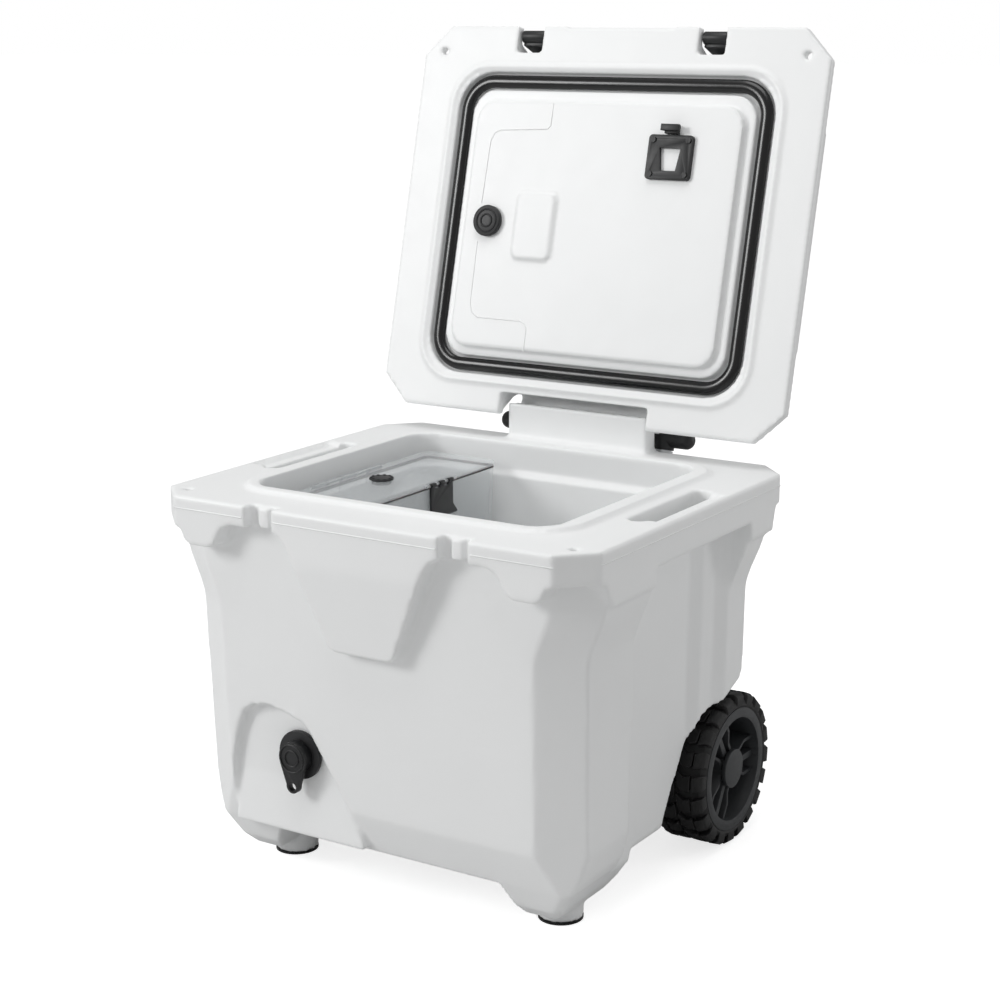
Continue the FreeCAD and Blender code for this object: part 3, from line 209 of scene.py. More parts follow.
def glass_filled_nylon(name, colour, roughness):
    """Injection-moulded nylon with glass fibre: near black, with a spark-eroded grain."""
    material, tree = blank_material(name)
    coords = coordinates(tree)
    shader = add_node(tree, "ShaderNodeBsdfPrincipled", {"IOR": 1.53}, {
        "Base Color": mottled(tree, coords, colour, 0.08, 7 * MM),
        "Roughness": roughness_range(tree, coords, roughness - 0.06, roughness + 0.06, 4 * MM),
        # the grain is 0.3 mm wide; it is drawn at 0.7 mm so that it shows
        "Normal": grained(tree, coords, 0.7 * MM, 0.03 * MM),
    })
    finish_material(tree, shader)
    return material


def tyre_rubber():
    """Filled rubber out of a dull mould: almost black, with a trace of grey bloom and dust."""
    material, tree = blank_material("tyre_rubber")
    coords = coordinates(tree)
    shader = add_node(tree, "ShaderNodeBsdfPrincipled", {"IOR": 1.52}, {
        "Base Color": mottled(tree, coords, colours().tyre, 0.25, 12 * MM),
        "Roughness": roughness_range(tree, coords, 0.55, 0.75, 6 * MM),
        "Normal": grained(tree, coords, 0.9 * MM, 0.05 * MM),
    })
    finish_material(tree, shader)
    return material


def extruded_rubber():
    """Solid EPDM for seals and feet: deep black with a broad soft shine."""
    material, tree = blank_material("extruded_rubber")
    coords = coordinates(tree)
    shader = add_node(tree, "ShaderNodeBsdfPrincipled", {"IOR": 1.51}, {
        "Base Color": mottled(tree, coords, colours().rubber, 0.15, 15 * MM),
        "Roughness": roughness_range(tree, coords, 0.18, 0.26, 9 * MM),
        "Normal": grained(tree, coords, 1.0 * MM, 0.02 * MM),
    })
    finish_material(tree, shader)
    return material


def soft_silicone():
    """Grey silicone of the tank's seal: matt and slightly waxy."""
    material, tree = blank_material("soft_silicone")
    coords = coordinates(tree)
    shader = add_node(tree, "ShaderNodeBsdfPrincipled", {"IOR": 1.43, "Subsurface Weight": 0.1}, {
        "Base Color": mottled(tree, coords, colours().silicone, 0.04, 10 * MM),
        "Roughness": roughness_range(tree, coords, 0.5, 0.6, 5 * MM),
    })
    finish_material(tree, shader)
    return material


def clear_copolyester():
    """Injection-moulded clear copolyester: bright edges, faint flow waves in the walls."""
    material, tree = blank_material("clear_copolyester")
    coords = coordinates(tree)
    shader = add_node(tree, "ShaderNodeBsdfPrincipled", {
        "Base Color": (*colours().clear, 1), "IOR": 1.55, "Alpha": 0.24,
    }, {
        "Roughness": roughness_range(tree, coords, 0.02, 0.06, 30 * MM),
        "Normal": grained(tree, coords, 22 * MM, 0.12 * MM),
    })
    finish_material(tree, shader)
    return material


def anodised_aluminium():
    """Drawn aluminium tube, satin anodised: fine lines run along it from the die."""
    material, tree = blank_material("anodised_aluminium")
    coords = coordinates(tree)
    mapping = add_node(tree, "ShaderNodeMapping", {"Scale": (1.0, 1.0, 0.02)}, {"Vector": coords})
    stretched = mapping.outputs[0]
    shader = add_node(tree, "ShaderNodeBsdfPrincipled", {"Metallic": 1.0}, {
        "Base Color": mottled(tree, coords, colours().aluminium, 0.03, 30 * MM),
        "Roughness": roughness_range(tree, stretched, 0.26, 0.38, 0.8 * MM),
        "Normal": grained(tree, stretched, 0.8 * MM, 0.01 * MM),
    })
    finish_material(tree, shader)
    return material


def zinc_plated_steel():
    """Bright zinc on turned steel: faintly streaked."""
    material, tree = blank_material("zinc_plated_steel")
    coords = coordinates(tree)
    shader = add_node(tree, "ShaderNodeBsdfPrincipled", {"Metallic": 1.0}, {
        "Base Color": mottled(tree, coords, colours().zinc, 0.06, 3 * MM),
        "Roughness": roughness_range(tree, coords, 0.25, 0.4, 2 * MM),
        "Normal": grained(tree, coords, 0.6 * MM, 0.01 * MM),
    })
    finish_material(tree, shader)
    return material


def polyurethane_foam():
    """Blown polyurethane: cream, with closed cells that show where it is cut."""
    material, tree = blank_material("polyurethane_foam")
    coords = coordinates(tree)
    cells = add_node(tree, "ShaderNodeTexVoronoi", {"Scale": 1 / (1.5 * MM)}, {"Vector": coords})
    bump = add_node(tree, "ShaderNodeBump", {"Strength": 1.0, "Distance": 0.4 * MM},
                    {"Height": cells.outputs["Distance"]})
    shader = add_node(tree, "ShaderNodeBsdfPrincipled", {"Roughness": 0.9}, {
        "Base Color": mottled(tree, coords, colours().foam, 0.06, 20 * MM),
        "Normal": bump.outputs["Normal"],
    })
    finish_material(tree, shader)
    return material


def studio_paper():
    """Seamless white paper: matt, and brighter to the eye than the light it gives back to the cooler."""
    material, tree = blank_material("studio_paper")
    coords = coordinates(tree)
    seen = add_node(tree, "ShaderNodeLightPath").outputs["Is Camera Ray"]
    glow = add_node(tree, "ShaderNodeMath", {1: bpy.context.scene.cooler_stage.glow}, {0: seen},
                    operation="MULTIPLY")
    shader = add_node(tree, "ShaderNodeBsdfPrincipled", {
        "Roughness": 0.9, "Specular IOR Level": 0.1, "Emission Color": (1, 1, 1, 1),
    }, {
        "Emission Strength": glow.outputs[0],
        "Base Color": mottled(tree, coords, colours().floor, 0.004, 400 * MM),
    })
    finish_material(tree, shader)
    return material


FINISHES = {}


def finish_named(slot):
    """The material of a record slot, made once."""
    makers = {
        "white_shell": moulded_polyethylene,
        "foam": polyurethane_foam,
        "black_rubber": extruded_rubber,
        "tyre_rubber": tyre_rubber,
        "black_nylon": lambda: glass_filled_nylon("glass_filled_nylon", colours().nylon, 0.46),
        "wheel_nylon": lambda: glass_filled_nylon("charcoal_nylon", colours().wheel, 0.5),
        "steel": zinc_plated_steel,
        "aluminium_tube": anodised_aluminium,
        "clear_plastic": clear_copolyester,
        "grey_seal": soft_silicone,
    }
    if slot not in FINISHES:
        FINISHES[slot] = makers[slot]()
    return FINISHES[slot]


# ---------------------------------------------------------------- mesh helpers
def spot(x, y, z):
    """A point given in millimetres, with its depth from the rim's middle."""
    return Vector((x * MM, (y + MID_Y) * MM, z * MM))


HINGE = spot(0, 240.7, 492.5)
LID_OPEN = math.radians(104.09)
# turns what is drawn on the closed lid to the open one
LID = Matrix.Translation(HINGE) @ Matrix.Rotation(-LID_OPEN, 4, "X") @ Matrix.Translation(-HINGE)


def mesh_from(name, points, faces, edges=()):
    mesh = bpy.data.meshes.new(name)
    mesh.from_pydata([tuple(p) for p in points], edges, faces)
    mesh.update()
    return mesh


def object_of(name, mesh):
    obj = bpy.data.objects.new(name, mesh)
    bpy.context.scene.collection.objects.link(obj)
    return obj


def baked(obj):
    """The object's evaluated mesh, put in place of its own, with no modifier left."""
    depsgraph = bpy.context.evaluated_depsgraph_get()
    mesh = bpy.data.meshes.new_from_object(obj.evaluated_get(depsgraph))
    obj.modifiers.clear()
    obj.data = mesh
    return mesh


def merged(meshes, matrix=None):
    """Several meshes as one."""
    joined = bmesh.new()
    for mesh in meshes:
        joined.from_mesh(mesh)
    if matrix is not None:
        joined.transform(matrix)
    out = bpy.data.meshes.new(meshes[0].name)
    joined.to_mesh(out)
    joined.free()
    return out


def outward(mesh):
    """Doubles merged and faces turned outwards."""
    shape = bmesh.new()
    shape.from_mesh(mesh)
    bmesh.ops.remove_doubles(shape, verts=shape.verts, dist=1e-6)
    bmesh.ops.recalc_face_normals(shape, faces=shape.faces)
    shape.to_mesh(mesh)
    shape.free()
    return mesh


def cad_copy(node):
    """A CAD node's mesh with its loose triangles merged."""
    shape = bmesh.new()
    shape.from_mesh(frame["nodes"][node].data)
    bmesh.ops.remove_doubles(shape, verts=shape.verts, dist=1e-6)
    mesh = bpy.data.meshes.new(node + "_copy")
    shape.to_mesh(mesh)
    shape.free()
    return mesh


def islands(mesh):
    """The mesh's separate shells, the largest first."""
    shape = bmesh.new()
    shape.from_mesh(mesh)
    left = set(shape.verts)
    found = []
    while left:
        stack = [left.pop()]
        island = set(stack)
        while stack:
            for edge in stack.pop().link_edges:
                for vert in edge.verts:
                    if vert in left:
                        left.remove(vert)
                        island.add(vert)
                        stack.append(vert)
        found.append(island)
    def spread(island):
        return max(v.co.x for v in island) - min(v.co.x for v in island)
    found.sort(key=spread, reverse=True)
    meshes = []
    for island in found:
        piece = shape.copy()
        piece.verts.ensure_lookup_table()
        shape.verts.index_update()
        keep = {v.index for v in island}
        bmesh.ops.delete(piece, geom=[v for v in piece.verts if v.index not in keep], context="VERTS")
        out = bpy.data.meshes.new(mesh.name)
        piece.to_mesh(out)
        piece.free()
        meshes.append(out)
    shape.free()
    return meshes


def soft_moulding(name, node, grid, extras, dents, triangles):
    """The CAD shell with its edges eased, its raised details blended in and its dents pressed."""
    outside, *hollows = islands(cad_copy(node))
    obj = object_of(name, merged([outside, *extras]))
    remesh = obj.modifiers.new("Remesh", "REMESH")
    remesh.mode = "VOXEL"
    remesh.voxel_size = grid
    smooth = obj.modifiers.new("Smooth", "SMOOTH")
    smooth.factor = 0.5
    smooth.iterations = sizes().softness
    mesh = baked(obj)
    press(mesh, dents)
    count = sum(len(face.vertices) - 2 for face in mesh.polygons)
    if count > triangles:
        thin = obj.modifiers.new("Decimate", "DECIMATE")
        thin.ratio = triangles / count
        baked(obj)
    obj.data = merged([obj.data, *hollows])
    obj.data.shade_smooth()
    return obj


def press(mesh, dents):
    """Dents given as (centre, half sizes, push): a soft-edged hollow moved by the push."""
    soft_edge = 3 * MM
    for centre, half, push in dents:
        for vert in mesh.vertices:
            depth = 1.0
            for along, limit in zip(vert.co - centre, half):
                depth *= max(0.0, min(1.0, (limit - abs(along)) / soft_edge))
            if depth > 0:
                vert.co += push * (depth * depth * (3 - 2 * depth))


def eased_copy(name, node, width, extras=()):
    """The CAD node with a small rounding along its sharp edges."""
    mesh = cad_copy(node)
    shape = bmesh.new()
    shape.from_mesh(mesh)
    bmesh.ops.dissolve_limit(shape, angle_limit=math.radians(1), verts=shape.verts, edges=shape.edges)
    shape.to_mesh(mesh)
    shape.free()
    obj = object_of(name, mesh)
    bevel = obj.modifiers.new("Bevel", "BEVEL")
    bevel.width = width
    bevel.segments = 2
    bevel.limit_method = "ANGLE"
    bevel.angle_limit = math.radians(40)
    baked(obj)
    if extras:
        obj.data = merged([obj.data, *extras])
    obj.data.shade_smooth()
    obj.data.set_sharp_from_angle(angle=math.radians(38))
    return obj


def ready(obj, body, slot, nodes=(), finish=None):
    """The finished piece, with its material, its body and what it stands for."""
    obj.data.materials.clear()
    obj.data.materials.append(finish_named(finish or slot))
    for face in obj.data.polygons:
        face.material_index = 0
    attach(obj, body)
    if nodes:
        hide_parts(*nodes)
    return obj


def rounded_loop(x, y, radius, z, steps=10):
    """Points of a rounded rectangle at one height, in millimetres."""
    points = []
    corners = [(x[1], y[1], 0), (x[0], y[1], 90), (x[0], y[0], 180), (x[1], y[0], 270)]
    for across, up, start in corners:
        centre_x = across - math.copysign(radius, across - sum(x) / 2)
        centre_y = up - math.copysign(radius, up - sum(y) / 2)
        for step in range(steps + 1):
            turn = math.radians(start + 90 * step / steps)
            points.append(spot(centre_x + radius * math.cos(turn), centre_y + radius * math.sin(turn), z))
    return points


def circle_loop(centre, radius, axis, steps=32):
    """Points of a circle about a centre, in metres, facing along Y or Z."""
    points = []
    for step in range(steps):
        turn = math.tau * step / steps
        across, up = radius * math.cos(turn), radius * math.sin(turn)
        points.append(centre + (Vector((across, 0, up)) if axis == "Y" else Vector((across, up, 0))))
    return points


# ---------------------------------------------------------------- node trees
def new_tree(name, numbers):
    """A geometry tree with a geometry input, named number inputs and a geometry output."""
    tree = bpy.data.node_groups.new(name, "GeometryNodeTree")
    tree.interface.new_socket("Geometry", in_out="INPUT", socket_type="NodeSocketGeometry")
    for label, kind in numbers:
        tree.interface.new_socket(label, in_out="INPUT", socket_type=kind)
    tree.interface.new_socket("Material", in_out="INPUT", socket_type="NodeSocketMaterial")
    tree.interface.new_socket("Geometry", in_out="OUTPUT", socket_type="NodeSocketGeometry")
    return tree, add_node(tree, "NodeGroupInput")


def close_tree(tree, inputs, geometry):
    """Ends a tree in real geometry with its material."""
    real = add_node(tree, "GeometryNodeRealizeInstances", links={"Geometry": geometry})
    painted = add_node(tree, "GeometryNodeSetMaterial", links={
        "Geometry": real.outputs["Geometry"], "Material": inputs.outputs["Material"]})
    add_node(tree, "NodeGroupOutput", links={"Geometry": painted.outputs["Geometry"]})
    return tree


def bead_tree():
    """Sweeps an oval section along the path's edges."""
    numbers = [("Half Width", "NodeSocketFloat"), ("Half Depth", "NodeSocketFloat"),
               ("Sides", "NodeSocketInt")]
    tree, inputs = new_tree("swept_bead", numbers)
    path = add_node(tree, "GeometryNodeMeshToCurve", links={"Mesh": inputs.outputs["Geometry"]})
    normal = add_node(tree, "GeometryNodeSetCurveNormal", links={"Curve": path.outputs["Curve"]},
                      mode="Z_UP")
    section = add_node(tree, "GeometryNodeCurvePrimitiveCircle", {"Radius": 1.0},
                       {"Resolution": inputs.outputs["Sides"]})
    oval = add_node(tree, "ShaderNodeCombineXYZ", {"Z": 1.0},
                    {"X": inputs.outputs["Half Width"], "Y": inputs.outputs["Half Depth"]})
    scaled = add_node(tree, "GeometryNodeTransform", links={"Geometry": section.outputs["Curve"],
                                                            "Scale": oval.outputs["Vector"]})
    swept = add_node(tree, "GeometryNodeCurveToMesh", {"Fill Caps": True},
                     {"Curve": normal.outputs["Curve"], "Profile Curve": scaled.outputs["Geometry"]})
    return close_tree(tree, inputs, swept.outputs["Mesh"])


def wheel_repeat_tree():
    """Repeats a shape in equal turns about a line through a centre along X."""
    tree, inputs = new_tree("turned_repeats", [("Count", "NodeSocketInt"), ("Centre", "NodeSocketVector")])
    points = add_node(tree, "GeometryNodeMeshLine", {"Offset": (0, 0, 0)},
                      {"Count": inputs.outputs["Count"]})
    whole = add_node(tree, "ShaderNodeMath", operation="DIVIDE", values={0: math.tau},
                     links={1: inputs.outputs["Count"]})
    index = add_node(tree, "GeometryNodeInputIndex")
    turn = add_node(tree, "ShaderNodeMath", operation="MULTIPLY",
                    links={0: index.outputs["Index"], 1: whole.outputs[0]})
    about = add_node(tree, "ShaderNodeCombineXYZ", links={"X": turn.outputs[0]})
    copies = add_node(tree, "GeometryNodeInstanceOnPoints", links={
        "Points": points.outputs["Mesh"], "Instance": inputs.outputs["Geometry"],
        "Rotation": about.outputs["Vector"]})
    moved = add_node(tree, "GeometryNodeTransform", links={
        "Geometry": copies.outputs["Instances"], "Translation": inputs.outputs["Centre"]})
    return close_tree(tree, inputs, moved.outputs["Geometry"])


def spots_tree():
    """Puts a small shape, turned one way, on each of the mesh's points."""
    tree, inputs = new_tree("shape_on_spots", [("Turn", "NodeSocketVector"), ("Shape", "NodeSocketObject")])
    shape = add_node(tree, "GeometryNodeObjectInfo", links={"Object": inputs.outputs["Shape"]})
    copies = add_node(tree, "GeometryNodeInstanceOnPoints", links={
        "Points": inputs.outputs["Geometry"], "Instance": shape.outputs["Geometry"],
        "Rotation": inputs.outputs["Turn"]})
    return close_tree(tree, inputs, copies.outputs["Instances"])


TREES = {}


def tree_named(maker):
    if maker.__name__ not in TREES:
        TREES[maker.__name__] = maker()
    return TREES[maker.__name__]


def grown(name, mesh, maker, values):
    """The mesh run through a tree, as a plain mesh object."""
    obj = object_of(name, mesh)
    modifier = obj.modifiers.new(maker.__name__, "NODES")
    modifier.node_group = tree_named(maker)
    sockets = {item.name: item.identifier for item in modifier.node_group.interface.items_tree
               if item.in_out == "INPUT"}
    for label, value in values.items():
        modifier[sockets[label]] = value
    baked(obj)
    return obj


def bead_mesh(name, points, half_wide, half_deep, slot, closed=False, section=12, matrix=None):
    """A swept bead as a mesh."""
    edges = [(i, i + 1) for i in range(len(points) - 1)]
    if closed:
        edges.append((len(points) - 1, 0))
    obj = grown(name, mesh_from(name, points, [], edges), bead_tree, {
        "Half Width": half_wide, "Half Depth": half_deep, "Sides": section, "Material": finish_named(slot)})
    mesh = outward(obj.data)
    if matrix is not None:
        mesh.transform(matrix)
    bpy.data.objects.remove(obj)
    return mesh


def slab(x, y, z, corner=0, matrix=None):
    """A rounded block as a mesh, in millimetres from the rim's middle."""
    if corner:
        loops = [rounded_loop(x, y, corner, height, 6) for height in z]
    else:
        corners = [(x[1], y[1]), (x[0], y[1]), (x[0], y[0]), (x[1], y[0])]
        loops = [[spot(across, up, height) for across, up in corners] for height in z]
    count = len(loops[0])
    faces = [[(i + 1) % count, i, count + i, count + (i + 1) % count] for i in range(count)]
    faces += [list(range(count)), list(range(count, 2 * count))]
    mesh = outward(mesh_from("slab", loops[0] + loops[1], faces))
    if matrix is not None:
        mesh.transform(matrix)
    return mesh


def lathed(name, profile, centre, steps=72):
    """A closed (distance along X, radius) profile, in metres, turned about a line through the centre."""
    points, faces = [], []
    for step in range(steps):
        turn = math.tau * step / steps
        for along, radius in profile:
            points.append(centre + Vector((along, radius * math.cos(turn), radius * math.sin(turn))))
    count = len(profile)
    for step in range(steps):
        after = (step + 1) % steps
        for i in range(count):
            j = (i + 1) % count
            faces.append([step * count + i, step * count + j, after * count + j, after * count + i])
    return outward(mesh_from(name, points, faces))


# ---------------------------------------------------------------- body and lid
FLAT = Matrix.Identity(4)
RIM_X, RIM_Y, RIM_CORNER = 290, 250, 39
PARTING_Z = 446
# the inner panel of the closed lid
PANEL_Z = 454.0
MOULDING_TRIANGLES = 180000


def body_details():
    """Raised details melted into the body moulding, and the dents pressed into it."""
    nub = slab((-113, -107), (-219.5, -205), (209, 215))
    dents = [(spot(side * 271, 6, 460), Vector((11, 76, 12)) * MM, Vector((0, 0, -5)) * MM)
             for side in SIDES.values()]
    return [nub], dents


def body_seams():
    """The mould's parting line round the rim, standing a hair proud."""
    seam = sizes().seam
    corner_x, corner_y = RIM_X - RIM_CORNER, RIM_Y - RIM_CORNER
    lines = []
    for side in SIDES.values():
        lines.append([(side * 153, -RIM_Y), (side * corner_x, -RIM_Y), (side * RIM_X, -corner_y),
                      (side * RIM_X, corner_y), (side * corner_x, RIM_Y), (side * 153, RIM_Y)])
    lines.append([(-109, -RIM_Y), (109, -RIM_Y)])
    return [bead_mesh("parting_line", [spot(x, y, PARTING_Z) for x, y in line], seam, seam, "white_shell",
                      section=6) for line in lines]


class COOLER_OT_body(bpy.types.Operator):
    """Build the body moulding"""
    bl_idname = "cooler.body"
    bl_label = "Body"

    def execute(self, context):
        extras, dents = body_details()
        obj = soft_moulding("cooler_body_shell", "body_skin", sizes().body_grid, extras, dents,
                            MOULDING_TRIANGLES)
        obj.data = merged([obj.data, *body_seams()])
        obj.data.shade_smooth()
        ready(obj, "cooler_body", "white_shell", ["body_skin"])
        return {"FINISHED"}


def lid_details():
    """Raised details of the lid's underside."""
    return [
        bead_mesh("lid_rib", rounded_loop((-236, 236), (-198, 209), 52, 462.5), 4 * MM, 3.2 * MM,
                  "white_shell", closed=True, matrix=LID),
        slab((-111, -56), (-35, 49), (450.5, 458), corner=9, matrix=LID),
    ]


def lid_lines():
    """The fine line of the pocket's outline on the inner panel."""
    paths = [
        [(-78, -150), (-78, -121), (-82, -117), (-152, -114), (-160, -110), (-165, -100), (-167, -19)],
        [(-166, 31), (-165, 111), (-161, 122), (-151, 128), (-86, 128), (-80, 131), (-76, 138), (-76, 166)],
    ]
    return [bead_mesh("pocket_line", [spot(x, y, PANEL_Z) for x, y in path], 0.9 * MM, 0.7 * MM,
                      "white_shell", section=6, matrix=LID) for path in paths]


class COOLER_OT_lid(bpy.types.Operator):
    """Build the lid moulding"""
    bl_idname = "cooler.lid"
    bl_label = "Lid"

    def execute(self, context):
        obj = soft_moulding("lid_shell", "lid_skin", sizes().lid_grid, lid_details(), [], MOULDING_TRIANGLES)
        obj.data = merged([obj.data, *lid_lines()])
        obj.data.shade_smooth()
        ready(obj, "lid", "white_shell", ["lid_skin"])
        return {"FINISHED"}


class COOLER_OT_gasket(bpy.types.Operator):
    """Build the lid's rubber gasket"""
    bl_idname = "cooler.gasket"
    bl_label = "Gasket"

    def execute(self, context):
        path = rounded_loop((-214.5, 214.5), (-178.5, 188.5), 38, 467, 14)
        mesh = bead_mesh("gasket", path, sizes().gasket_wide, sizes().gasket_deep, "black_rubber",
                         closed=True, section=20, matrix=LID)
        obj = object_of("lid_seal", mesh)
        obj.data.shade_smooth()
        ready(obj, "lid", "black_rubber", ["lid_gasket"])
        return {"FINISHED"}


# ---------------------------------------------------------------- wheels
WHEEL_X, WHEEL_Y, WHEEL_R = 223.5, 175.5, 94.5
# profiles of the tyre and of one shoulder block, as (across, radius)
CARCASS = [(-33, 76), (-34.4, 79), (-33, 83), (-29, 87), (-20, 88.6), (20, 88.6), (29, 87), (33, 83),
           (34.4, 79), (33, 76)]
SHOULDER = [(21, 86), (21, 94.5), (30, 94.3), (34.6, 90.5), (35, 83), (34.2, 78.5), (30, 78.5)]
# how much of each pitch a block takes up; the rest is groove
SHOULDER_SHARE = 0.64
ZIGZAG_SHARE = 0.62


def on_tread(shape, across, round_, radius):
    """A corner of the tread, at a distance round it in millimetres."""
    turn = round_ / WHEEL_R
    return shape.verts.new(Vector((across, radius * math.sin(turn), radius * math.cos(turn))) * MM)


def closed_block(shape, rings):
    """A solid between two rings of corners."""
    count = len(rings[0])
    for i in range(count):
        j = (i + 1) % count
        shape.faces.new([rings[0][i], rings[0][j], rings[1][j], rings[1][i]])
    shape.faces.new(rings[0])
    shape.faces.new(rings[1])


def tread_block(shape, outline, low, high):
    """One block of the tread: an outline of (across, round) millimetres, raised between two radii."""
    closed_block(shape, [[on_tread(shape, across, round_, radius) for across, round_ in outline]
                         for radius in (low, high)])


def shoulder_block(shape, side, start, width):
    """A block that wraps from the tread over the shoulder and down the sidewall."""
    rings = []
    for end in (start, start + width):
        rings.append([on_tread(shape, side * across, end - (4 if across < 25 else 0), radius)
                      for across, radius in SHOULDER])
    closed_block(shape, rings)


def tyre_lugs():
    """The tread's blocks over one pitch: two shoulders and a zigzag pair between them."""
    pitch = math.tau * WHEEL_R / sizes().lug_count
    shape = bmesh.new()
    long = pitch * ZIGZAG_SHARE
    zigzag = [(1.4, 3), (10, -4), (19, -1), (19, long - 1), (10, long - 4), (1.4, long + 3)]
    for side, shift in ((1, 0), (-1, pitch * 0.5)):
        shoulder_block(shape, side, shift, pitch * SHOULDER_SHARE)
    for side, shift in ((1, 0), (-1, pitch * 0.5)):
        tread_block(shape, [(side * across, round_ + shift) for across, round_ in zigzag], 86, 94.2)
    bmesh.ops.recalc_face_normals(shape, faces=shape.faces)
    mesh = bpy.data.meshes.new("lugs")
    shape.to_mesh(mesh)
    shape.free()
    obj = object_of("lugs", mesh)
    bevel = obj.modifiers.new("Bevel", "BEVEL")
    bevel.width = 0.7 * MM
    bevel.segments = 1
    mesh = baked(obj)
    bpy.data.objects.remove(obj)
    return mesh


class COOLER_OT_tyres(bpy.types.Operator):
    """Build both tyres with their tread"""
    bl_idname = "cooler.tyres"
    bl_label = "Tyres"

    def execute(self, context):
        for word, side in SIDES.items():
            centre = spot(side * WHEEL_X, WHEEL_Y, WHEEL_R)
            carcass = lathed("carcass", [(side * x * MM, r * MM) for x, r in CARCASS], centre, 96)
            lugs = grown("tread", tyre_lugs(), wheel_repeat_tree, {
                "Count": sizes().lug_count, "Centre": centre, "Material": finish_named("tyre_rubber")})
            obj = object_of(f"tyre_with_tread_{word}", merged([carcass, lugs.data]))
            bpy.data.objects.remove(lugs)
            obj.data.shade_smooth()
            obj.data.set_sharp_from_angle(angle=math.radians(30))
            ready(obj, f"{word}_wheel", "tyre_rubber", [f"tyre_{word}"])
        return {"FINISHED"}


class COOLER_OT_wheels(bpy.types.Operator):
    """Ease the edges of the wheels and hub caps"""
    bl_idname = "cooler.wheels"
    bl_label = "Wheels"

    def execute(self, context):
        for word in SIDES:
            for part in ("wheel_rim", "hub_cap"):
                obj = eased_copy(f"{part}_eased_{word}", f"{part}_{word}", sizes().edge)
                ready(obj, f"{word}_wheel", "black_nylon", [f"{part}_{word}"], finish="wheel_nylon")
        return {"FINISHED"}


# ---------------------------------------------------------------- fittings
EASED = {
    "handle_grip": ("handle_top", 1.0),
    "handle_button": ("release_button", 0.8),
    "handle_bracket_upper": ("cooler_body", 1.0),
    "handle_bracket_lower": ("cooler_body", 1.0),
    "tap_dock_plate": ("lid", 0.6),
    "tap_dock_cleat": ("lid", 0.6),
    "lid_knob": ("knob", 1.0),
    "latch_left": ("left_latch", 1.0),
    "latch_right": ("right_latch", 1.0),
    "tank_latch": ("tank_flap", 0.5),
    "tank_cap": ("filler_cap", 0.8),
    "drain_fitting": ("cooler_body", 0.8),
}


def fitting_extras(node):
    """Small raised details that the plain fitting lacks."""
    if node == "lid_knob":
        rings = [circle_loop(spot(-152, 4, 446.9), radius * MM, "Z") for radius in (14.5, 8)]
        return [bead_mesh("knob_ring", ring, 1.3 * MM, 1.0 * MM, "black_nylon", closed=True, section=8,
                          matrix=LID) for ring in rings]
    if node == "tank_cap":
        grips = []
        for step in range(10):
            turn = math.tau * step / 10
            x, y = -140 + 12.5 * math.cos(turn), 12.5 * math.sin(turn)
            grips.append(slab((x - 1.6, x + 1.6), (y - 1.6, y + 1.6), (443.4, 446.6), corner=1.5))
        return grips
    return []


class COOLER_OT_fittings(bpy.types.Operator):
    """Ease the edges of the black fittings and add their small details"""
    bl_idname = "cooler.fittings"
    bl_label = "Fittings"

    def execute(self, context):
        for node, (body, width) in EASED.items():
            obj = eased_copy(node + "_eased", node, width * MM, fitting_extras(node))
            ready(obj, body, "black_nylon", [node])
        return {"FINISHED"}


class COOLER_OT_drain_cover(bpy.types.Operator):
    """Build the drain's swinging cover"""
    bl_idname = "cooler.drain_cover"
    bl_label = "Drain cover"

    def execute(self, context):
        centre = spot(-110, -226, 162)
        rings = [bead_mesh("cover_ring", circle_loop(centre, radius * MM, "Y"), 1.3 * MM, 1.0 * MM,
                           "black_nylon", closed=True, section=8) for radius in (16.5, 9.5)]
        obj = eased_copy("drain_cover", "drain_cap", 1.2 * MM, rings)
        ready(obj, "drain_cover", "black_nylon", ["drain_cap"])
        return {"FINISHED"}


def screw_head(name, radius, height):
    """A pan head with a cross recess, facing up Z, in metres."""
    shape = bmesh.new()
    made = bmesh.ops.create_cone(shape, cap_ends=True, segments=24, radius1=radius, radius2=radius * 0.86,
                                 depth=height, matrix=Matrix.Translation((0, 0, height / 2)))
    top = max(made["verts"], key=lambda v: v.co.z).co.z
    face = next(f for f in shape.faces if all(abs(v.co.z - top) < 1e-9 for v in f.verts))
    bmesh.ops.inset_region(shape, faces=[face], thickness=radius * 0.45)
    for vert in face.verts:
        vert.co.z -= height * 0.5
    mesh = bpy.data.meshes.new(name)
    shape.to_mesh(mesh)
    shape.free()
    return mesh


SCREW_SETS = {
    # name: (node, body, finish, head radius, head height, turn about X, frame of the spots, spots)
    "bracket_screw_heads": ("handle_screws", "cooler_body", "steel", 5, 2.8, -90, FLAT,
                            [(s * x, 223.2, z) for s in (-1, 1) for x in (64, 126) for z in (397, 226)]),
    "dock_screw_heads": ("tap_dock_screws", "lid", "black_nylon", 3.4, 1.4, 180, LID,
                         [(x, y, 449) for x in (74.5, 122.5) for y in (-107.5, -65.5)]),
}


class COOLER_OT_screws(bpy.types.Operator):
    """Set the screws with their heads"""
    bl_idname = "cooler.screws"
    bl_label = "Screws"

    def execute(self, context):
        for name, (node, body, finish, radius, height, turn, matrix, spots) in SCREW_SETS.items():
            head = object_of(name + "_pattern", screw_head(name, radius * MM, height * MM))
            points = mesh_from(name, [spot(*s) for s in spots], [])
            facing = Vector((math.radians(turn), 0, 0))
            obj = grown(name, points, spots_tree, {
                "Turn": facing, "Shape": head, "Material": finish_named(finish)})
            bpy.data.objects.remove(head)
            obj.data.transform(matrix)
            obj.data = merged([obj.data, cad_copy(node)])
            ready(obj, body, "steel", [node], finish=finish)
        return {"FINISHED"}


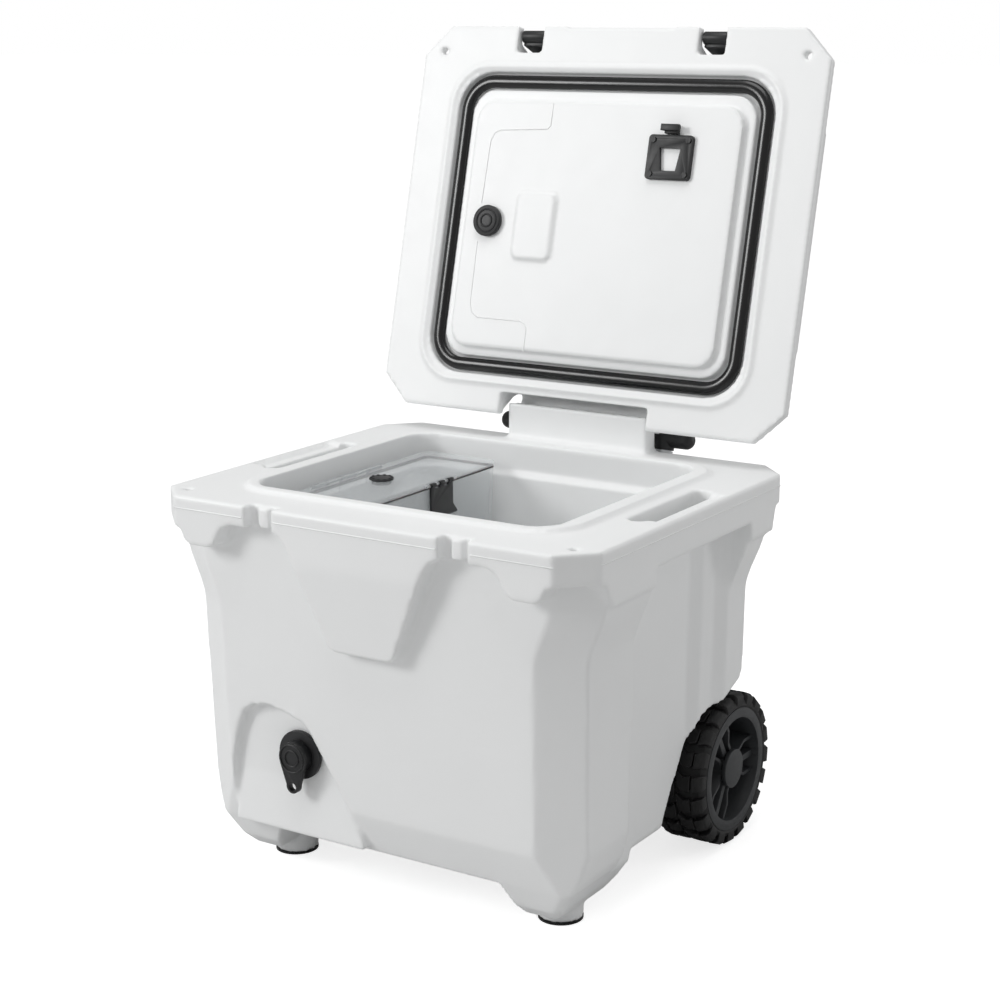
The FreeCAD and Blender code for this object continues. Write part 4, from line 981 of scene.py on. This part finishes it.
class COOLER_OT_carried_over(bpy.types.Operator):
    """Give every remaining CAD node its finish"""
    bl_idname = "cooler.carried_over"
    bl_label = "Plain parts"

    def execute(self, context):
        slots = {part["node"]: part["material_slot"] for part in frame["record"]["subparts"]}
        for node, obj in frame["nodes"].items():
            if obj.hide_render:
                continue
            material = finish_named(slots[node])
            if obj.material_slots:
                for held in obj.material_slots:
                    held.material = material
            else:
                obj.data.materials.append(material)
        return {"FINISHED"}


# ---------------------------------------------------------------- stage
FLOOR_HALF = 30


class COOLER_OT_stage(bpy.types.Operator):
    """Set the floor, the light and the camera"""
    bl_idname = "cooler.stage"
    bl_label = "Stage"

    def execute(self, context):
        stage = context.scene.cooler_stage
        half = FLOOR_HALF
        floor = object_of("floor", mesh_from("floor", [(-half, -half, 0), (half, -half, 0), (half, half, 0),
                                                       (-half, half, 0)], [[0, 1, 2, 3]]))
        floor.data.materials.append(studio_paper())

        world = bpy.data.worlds.new("white_surround")
        world.use_nodes = True
        world.node_tree.nodes["Background"].inputs["Color"].default_value = (1, 1, 1, 1)
        seen = add_node(world.node_tree, "ShaderNodeLightPath").outputs["Is Camera Ray"]
        strength = add_node(world.node_tree, "ShaderNodeMapRange",
                                     {"To Min": stage.sky, "To Max": stage.backdrop}, {"Value": seen})
        world.node_tree.links.new(strength.outputs["Result"],
                                  world.node_tree.nodes["Background"].inputs["Strength"])
        context.scene.world = world
        context.scene.view_settings.view_transform = "Standard"

        lights = [
            ("key_light", (-2.6, -3.0, 2.2), stage.key_power, 1.3),
            ("top_light", (0, -0.5, 3.4), stage.key_power * 0.5, 1.8),
            ("side_light", (2.6, 2.4, 1.2), stage.key_power * 0.22, 0.9),
        ]
        target = Vector((0, 0, 0.4))
        for name, place, power, size in lights:
            data = bpy.data.lights.new(name, "AREA")
            data.energy = power
            data.size = size
            light = bpy.data.objects.new(name, data)
            light.location = place
            light.rotation_euler = (target - light.location).to_track_quat("-Z", "Y").to_euler()
            context.scene.collection.objects.link(light)

        az, el = stage.azimuth, stage.elevation
        right = Vector((math.cos(az), math.sin(az), 0))
        back = Vector((math.sin(az) * math.cos(el), -math.cos(az) * math.cos(el), math.sin(el)))
        up = back.cross(right)
        turn = Matrix((right, up, back)).transposed().to_4x4() @ Matrix.Rotation(stage.roll, 4, "Z")
        data = bpy.data.cameras.new("camera")
        data.lens = stage.lens
        data.sensor_width = 36
        camera = bpy.data.objects.new("camera", data)
        camera.matrix_world = Matrix.Translation(Vector(stage.eye)) @ turn
        context.scene.collection.objects.link(camera)
        context.scene.camera = camera
        return {"FINISHED"}


# ---------------------------------------------------------------- add-on
OPERATORS = [
    COOLER_OT_body,
    COOLER_OT_lid,
    COOLER_OT_gasket,
    COOLER_OT_tyres,
    COOLER_OT_wheels,
    COOLER_OT_fittings,
    COOLER_OT_drain_cover,
    COOLER_OT_screws,
    COOLER_OT_carried_over,
    COOLER_OT_stage,
]
GROUPS = {"cooler_sizes": CoolerSizes, "cooler_colours": CoolerColours, "cooler_stage": CoolerStage}


class COOLER_PT_panel(bpy.types.Panel):
    """Lists the cooler's settings and its build steps"""
    bl_idname = "COOLER_PT_panel"
    bl_label = "Cooler"
    bl_space_type = "VIEW_3D"
    bl_region_type = "UI"
    bl_category = "Cooler"

    def draw(self, context):
        for group, kind in GROUPS.items():
            box = self.layout.box()
            for name in kind.__annotations__:
                box.prop(getattr(context.scene, group), name)
        for operator in OPERATORS:
            self.layout.operator(operator.bl_idname)


def register():
    for kind in (*GROUPS.values(), *OPERATORS, COOLER_PT_panel):
        bpy.utils.register_class(kind)
    for name, kind in GROUPS.items():
        setattr(bpy.types.Scene, name, PointerProperty(type=kind))


def unregister():
    for name in GROUPS:
        delattr(bpy.types.Scene, name)
    for kind in reversed((*GROUPS.values(), *OPERATORS, COOLER_PT_panel)):
        bpy.utils.unregister_class(kind)


def main():
    register()
    for operator in OPERATORS:
        group, name = operator.bl_idname.split(".")
        getattr(getattr(bpy.ops, group), name)()


if __name__ == "__main__":
    main()
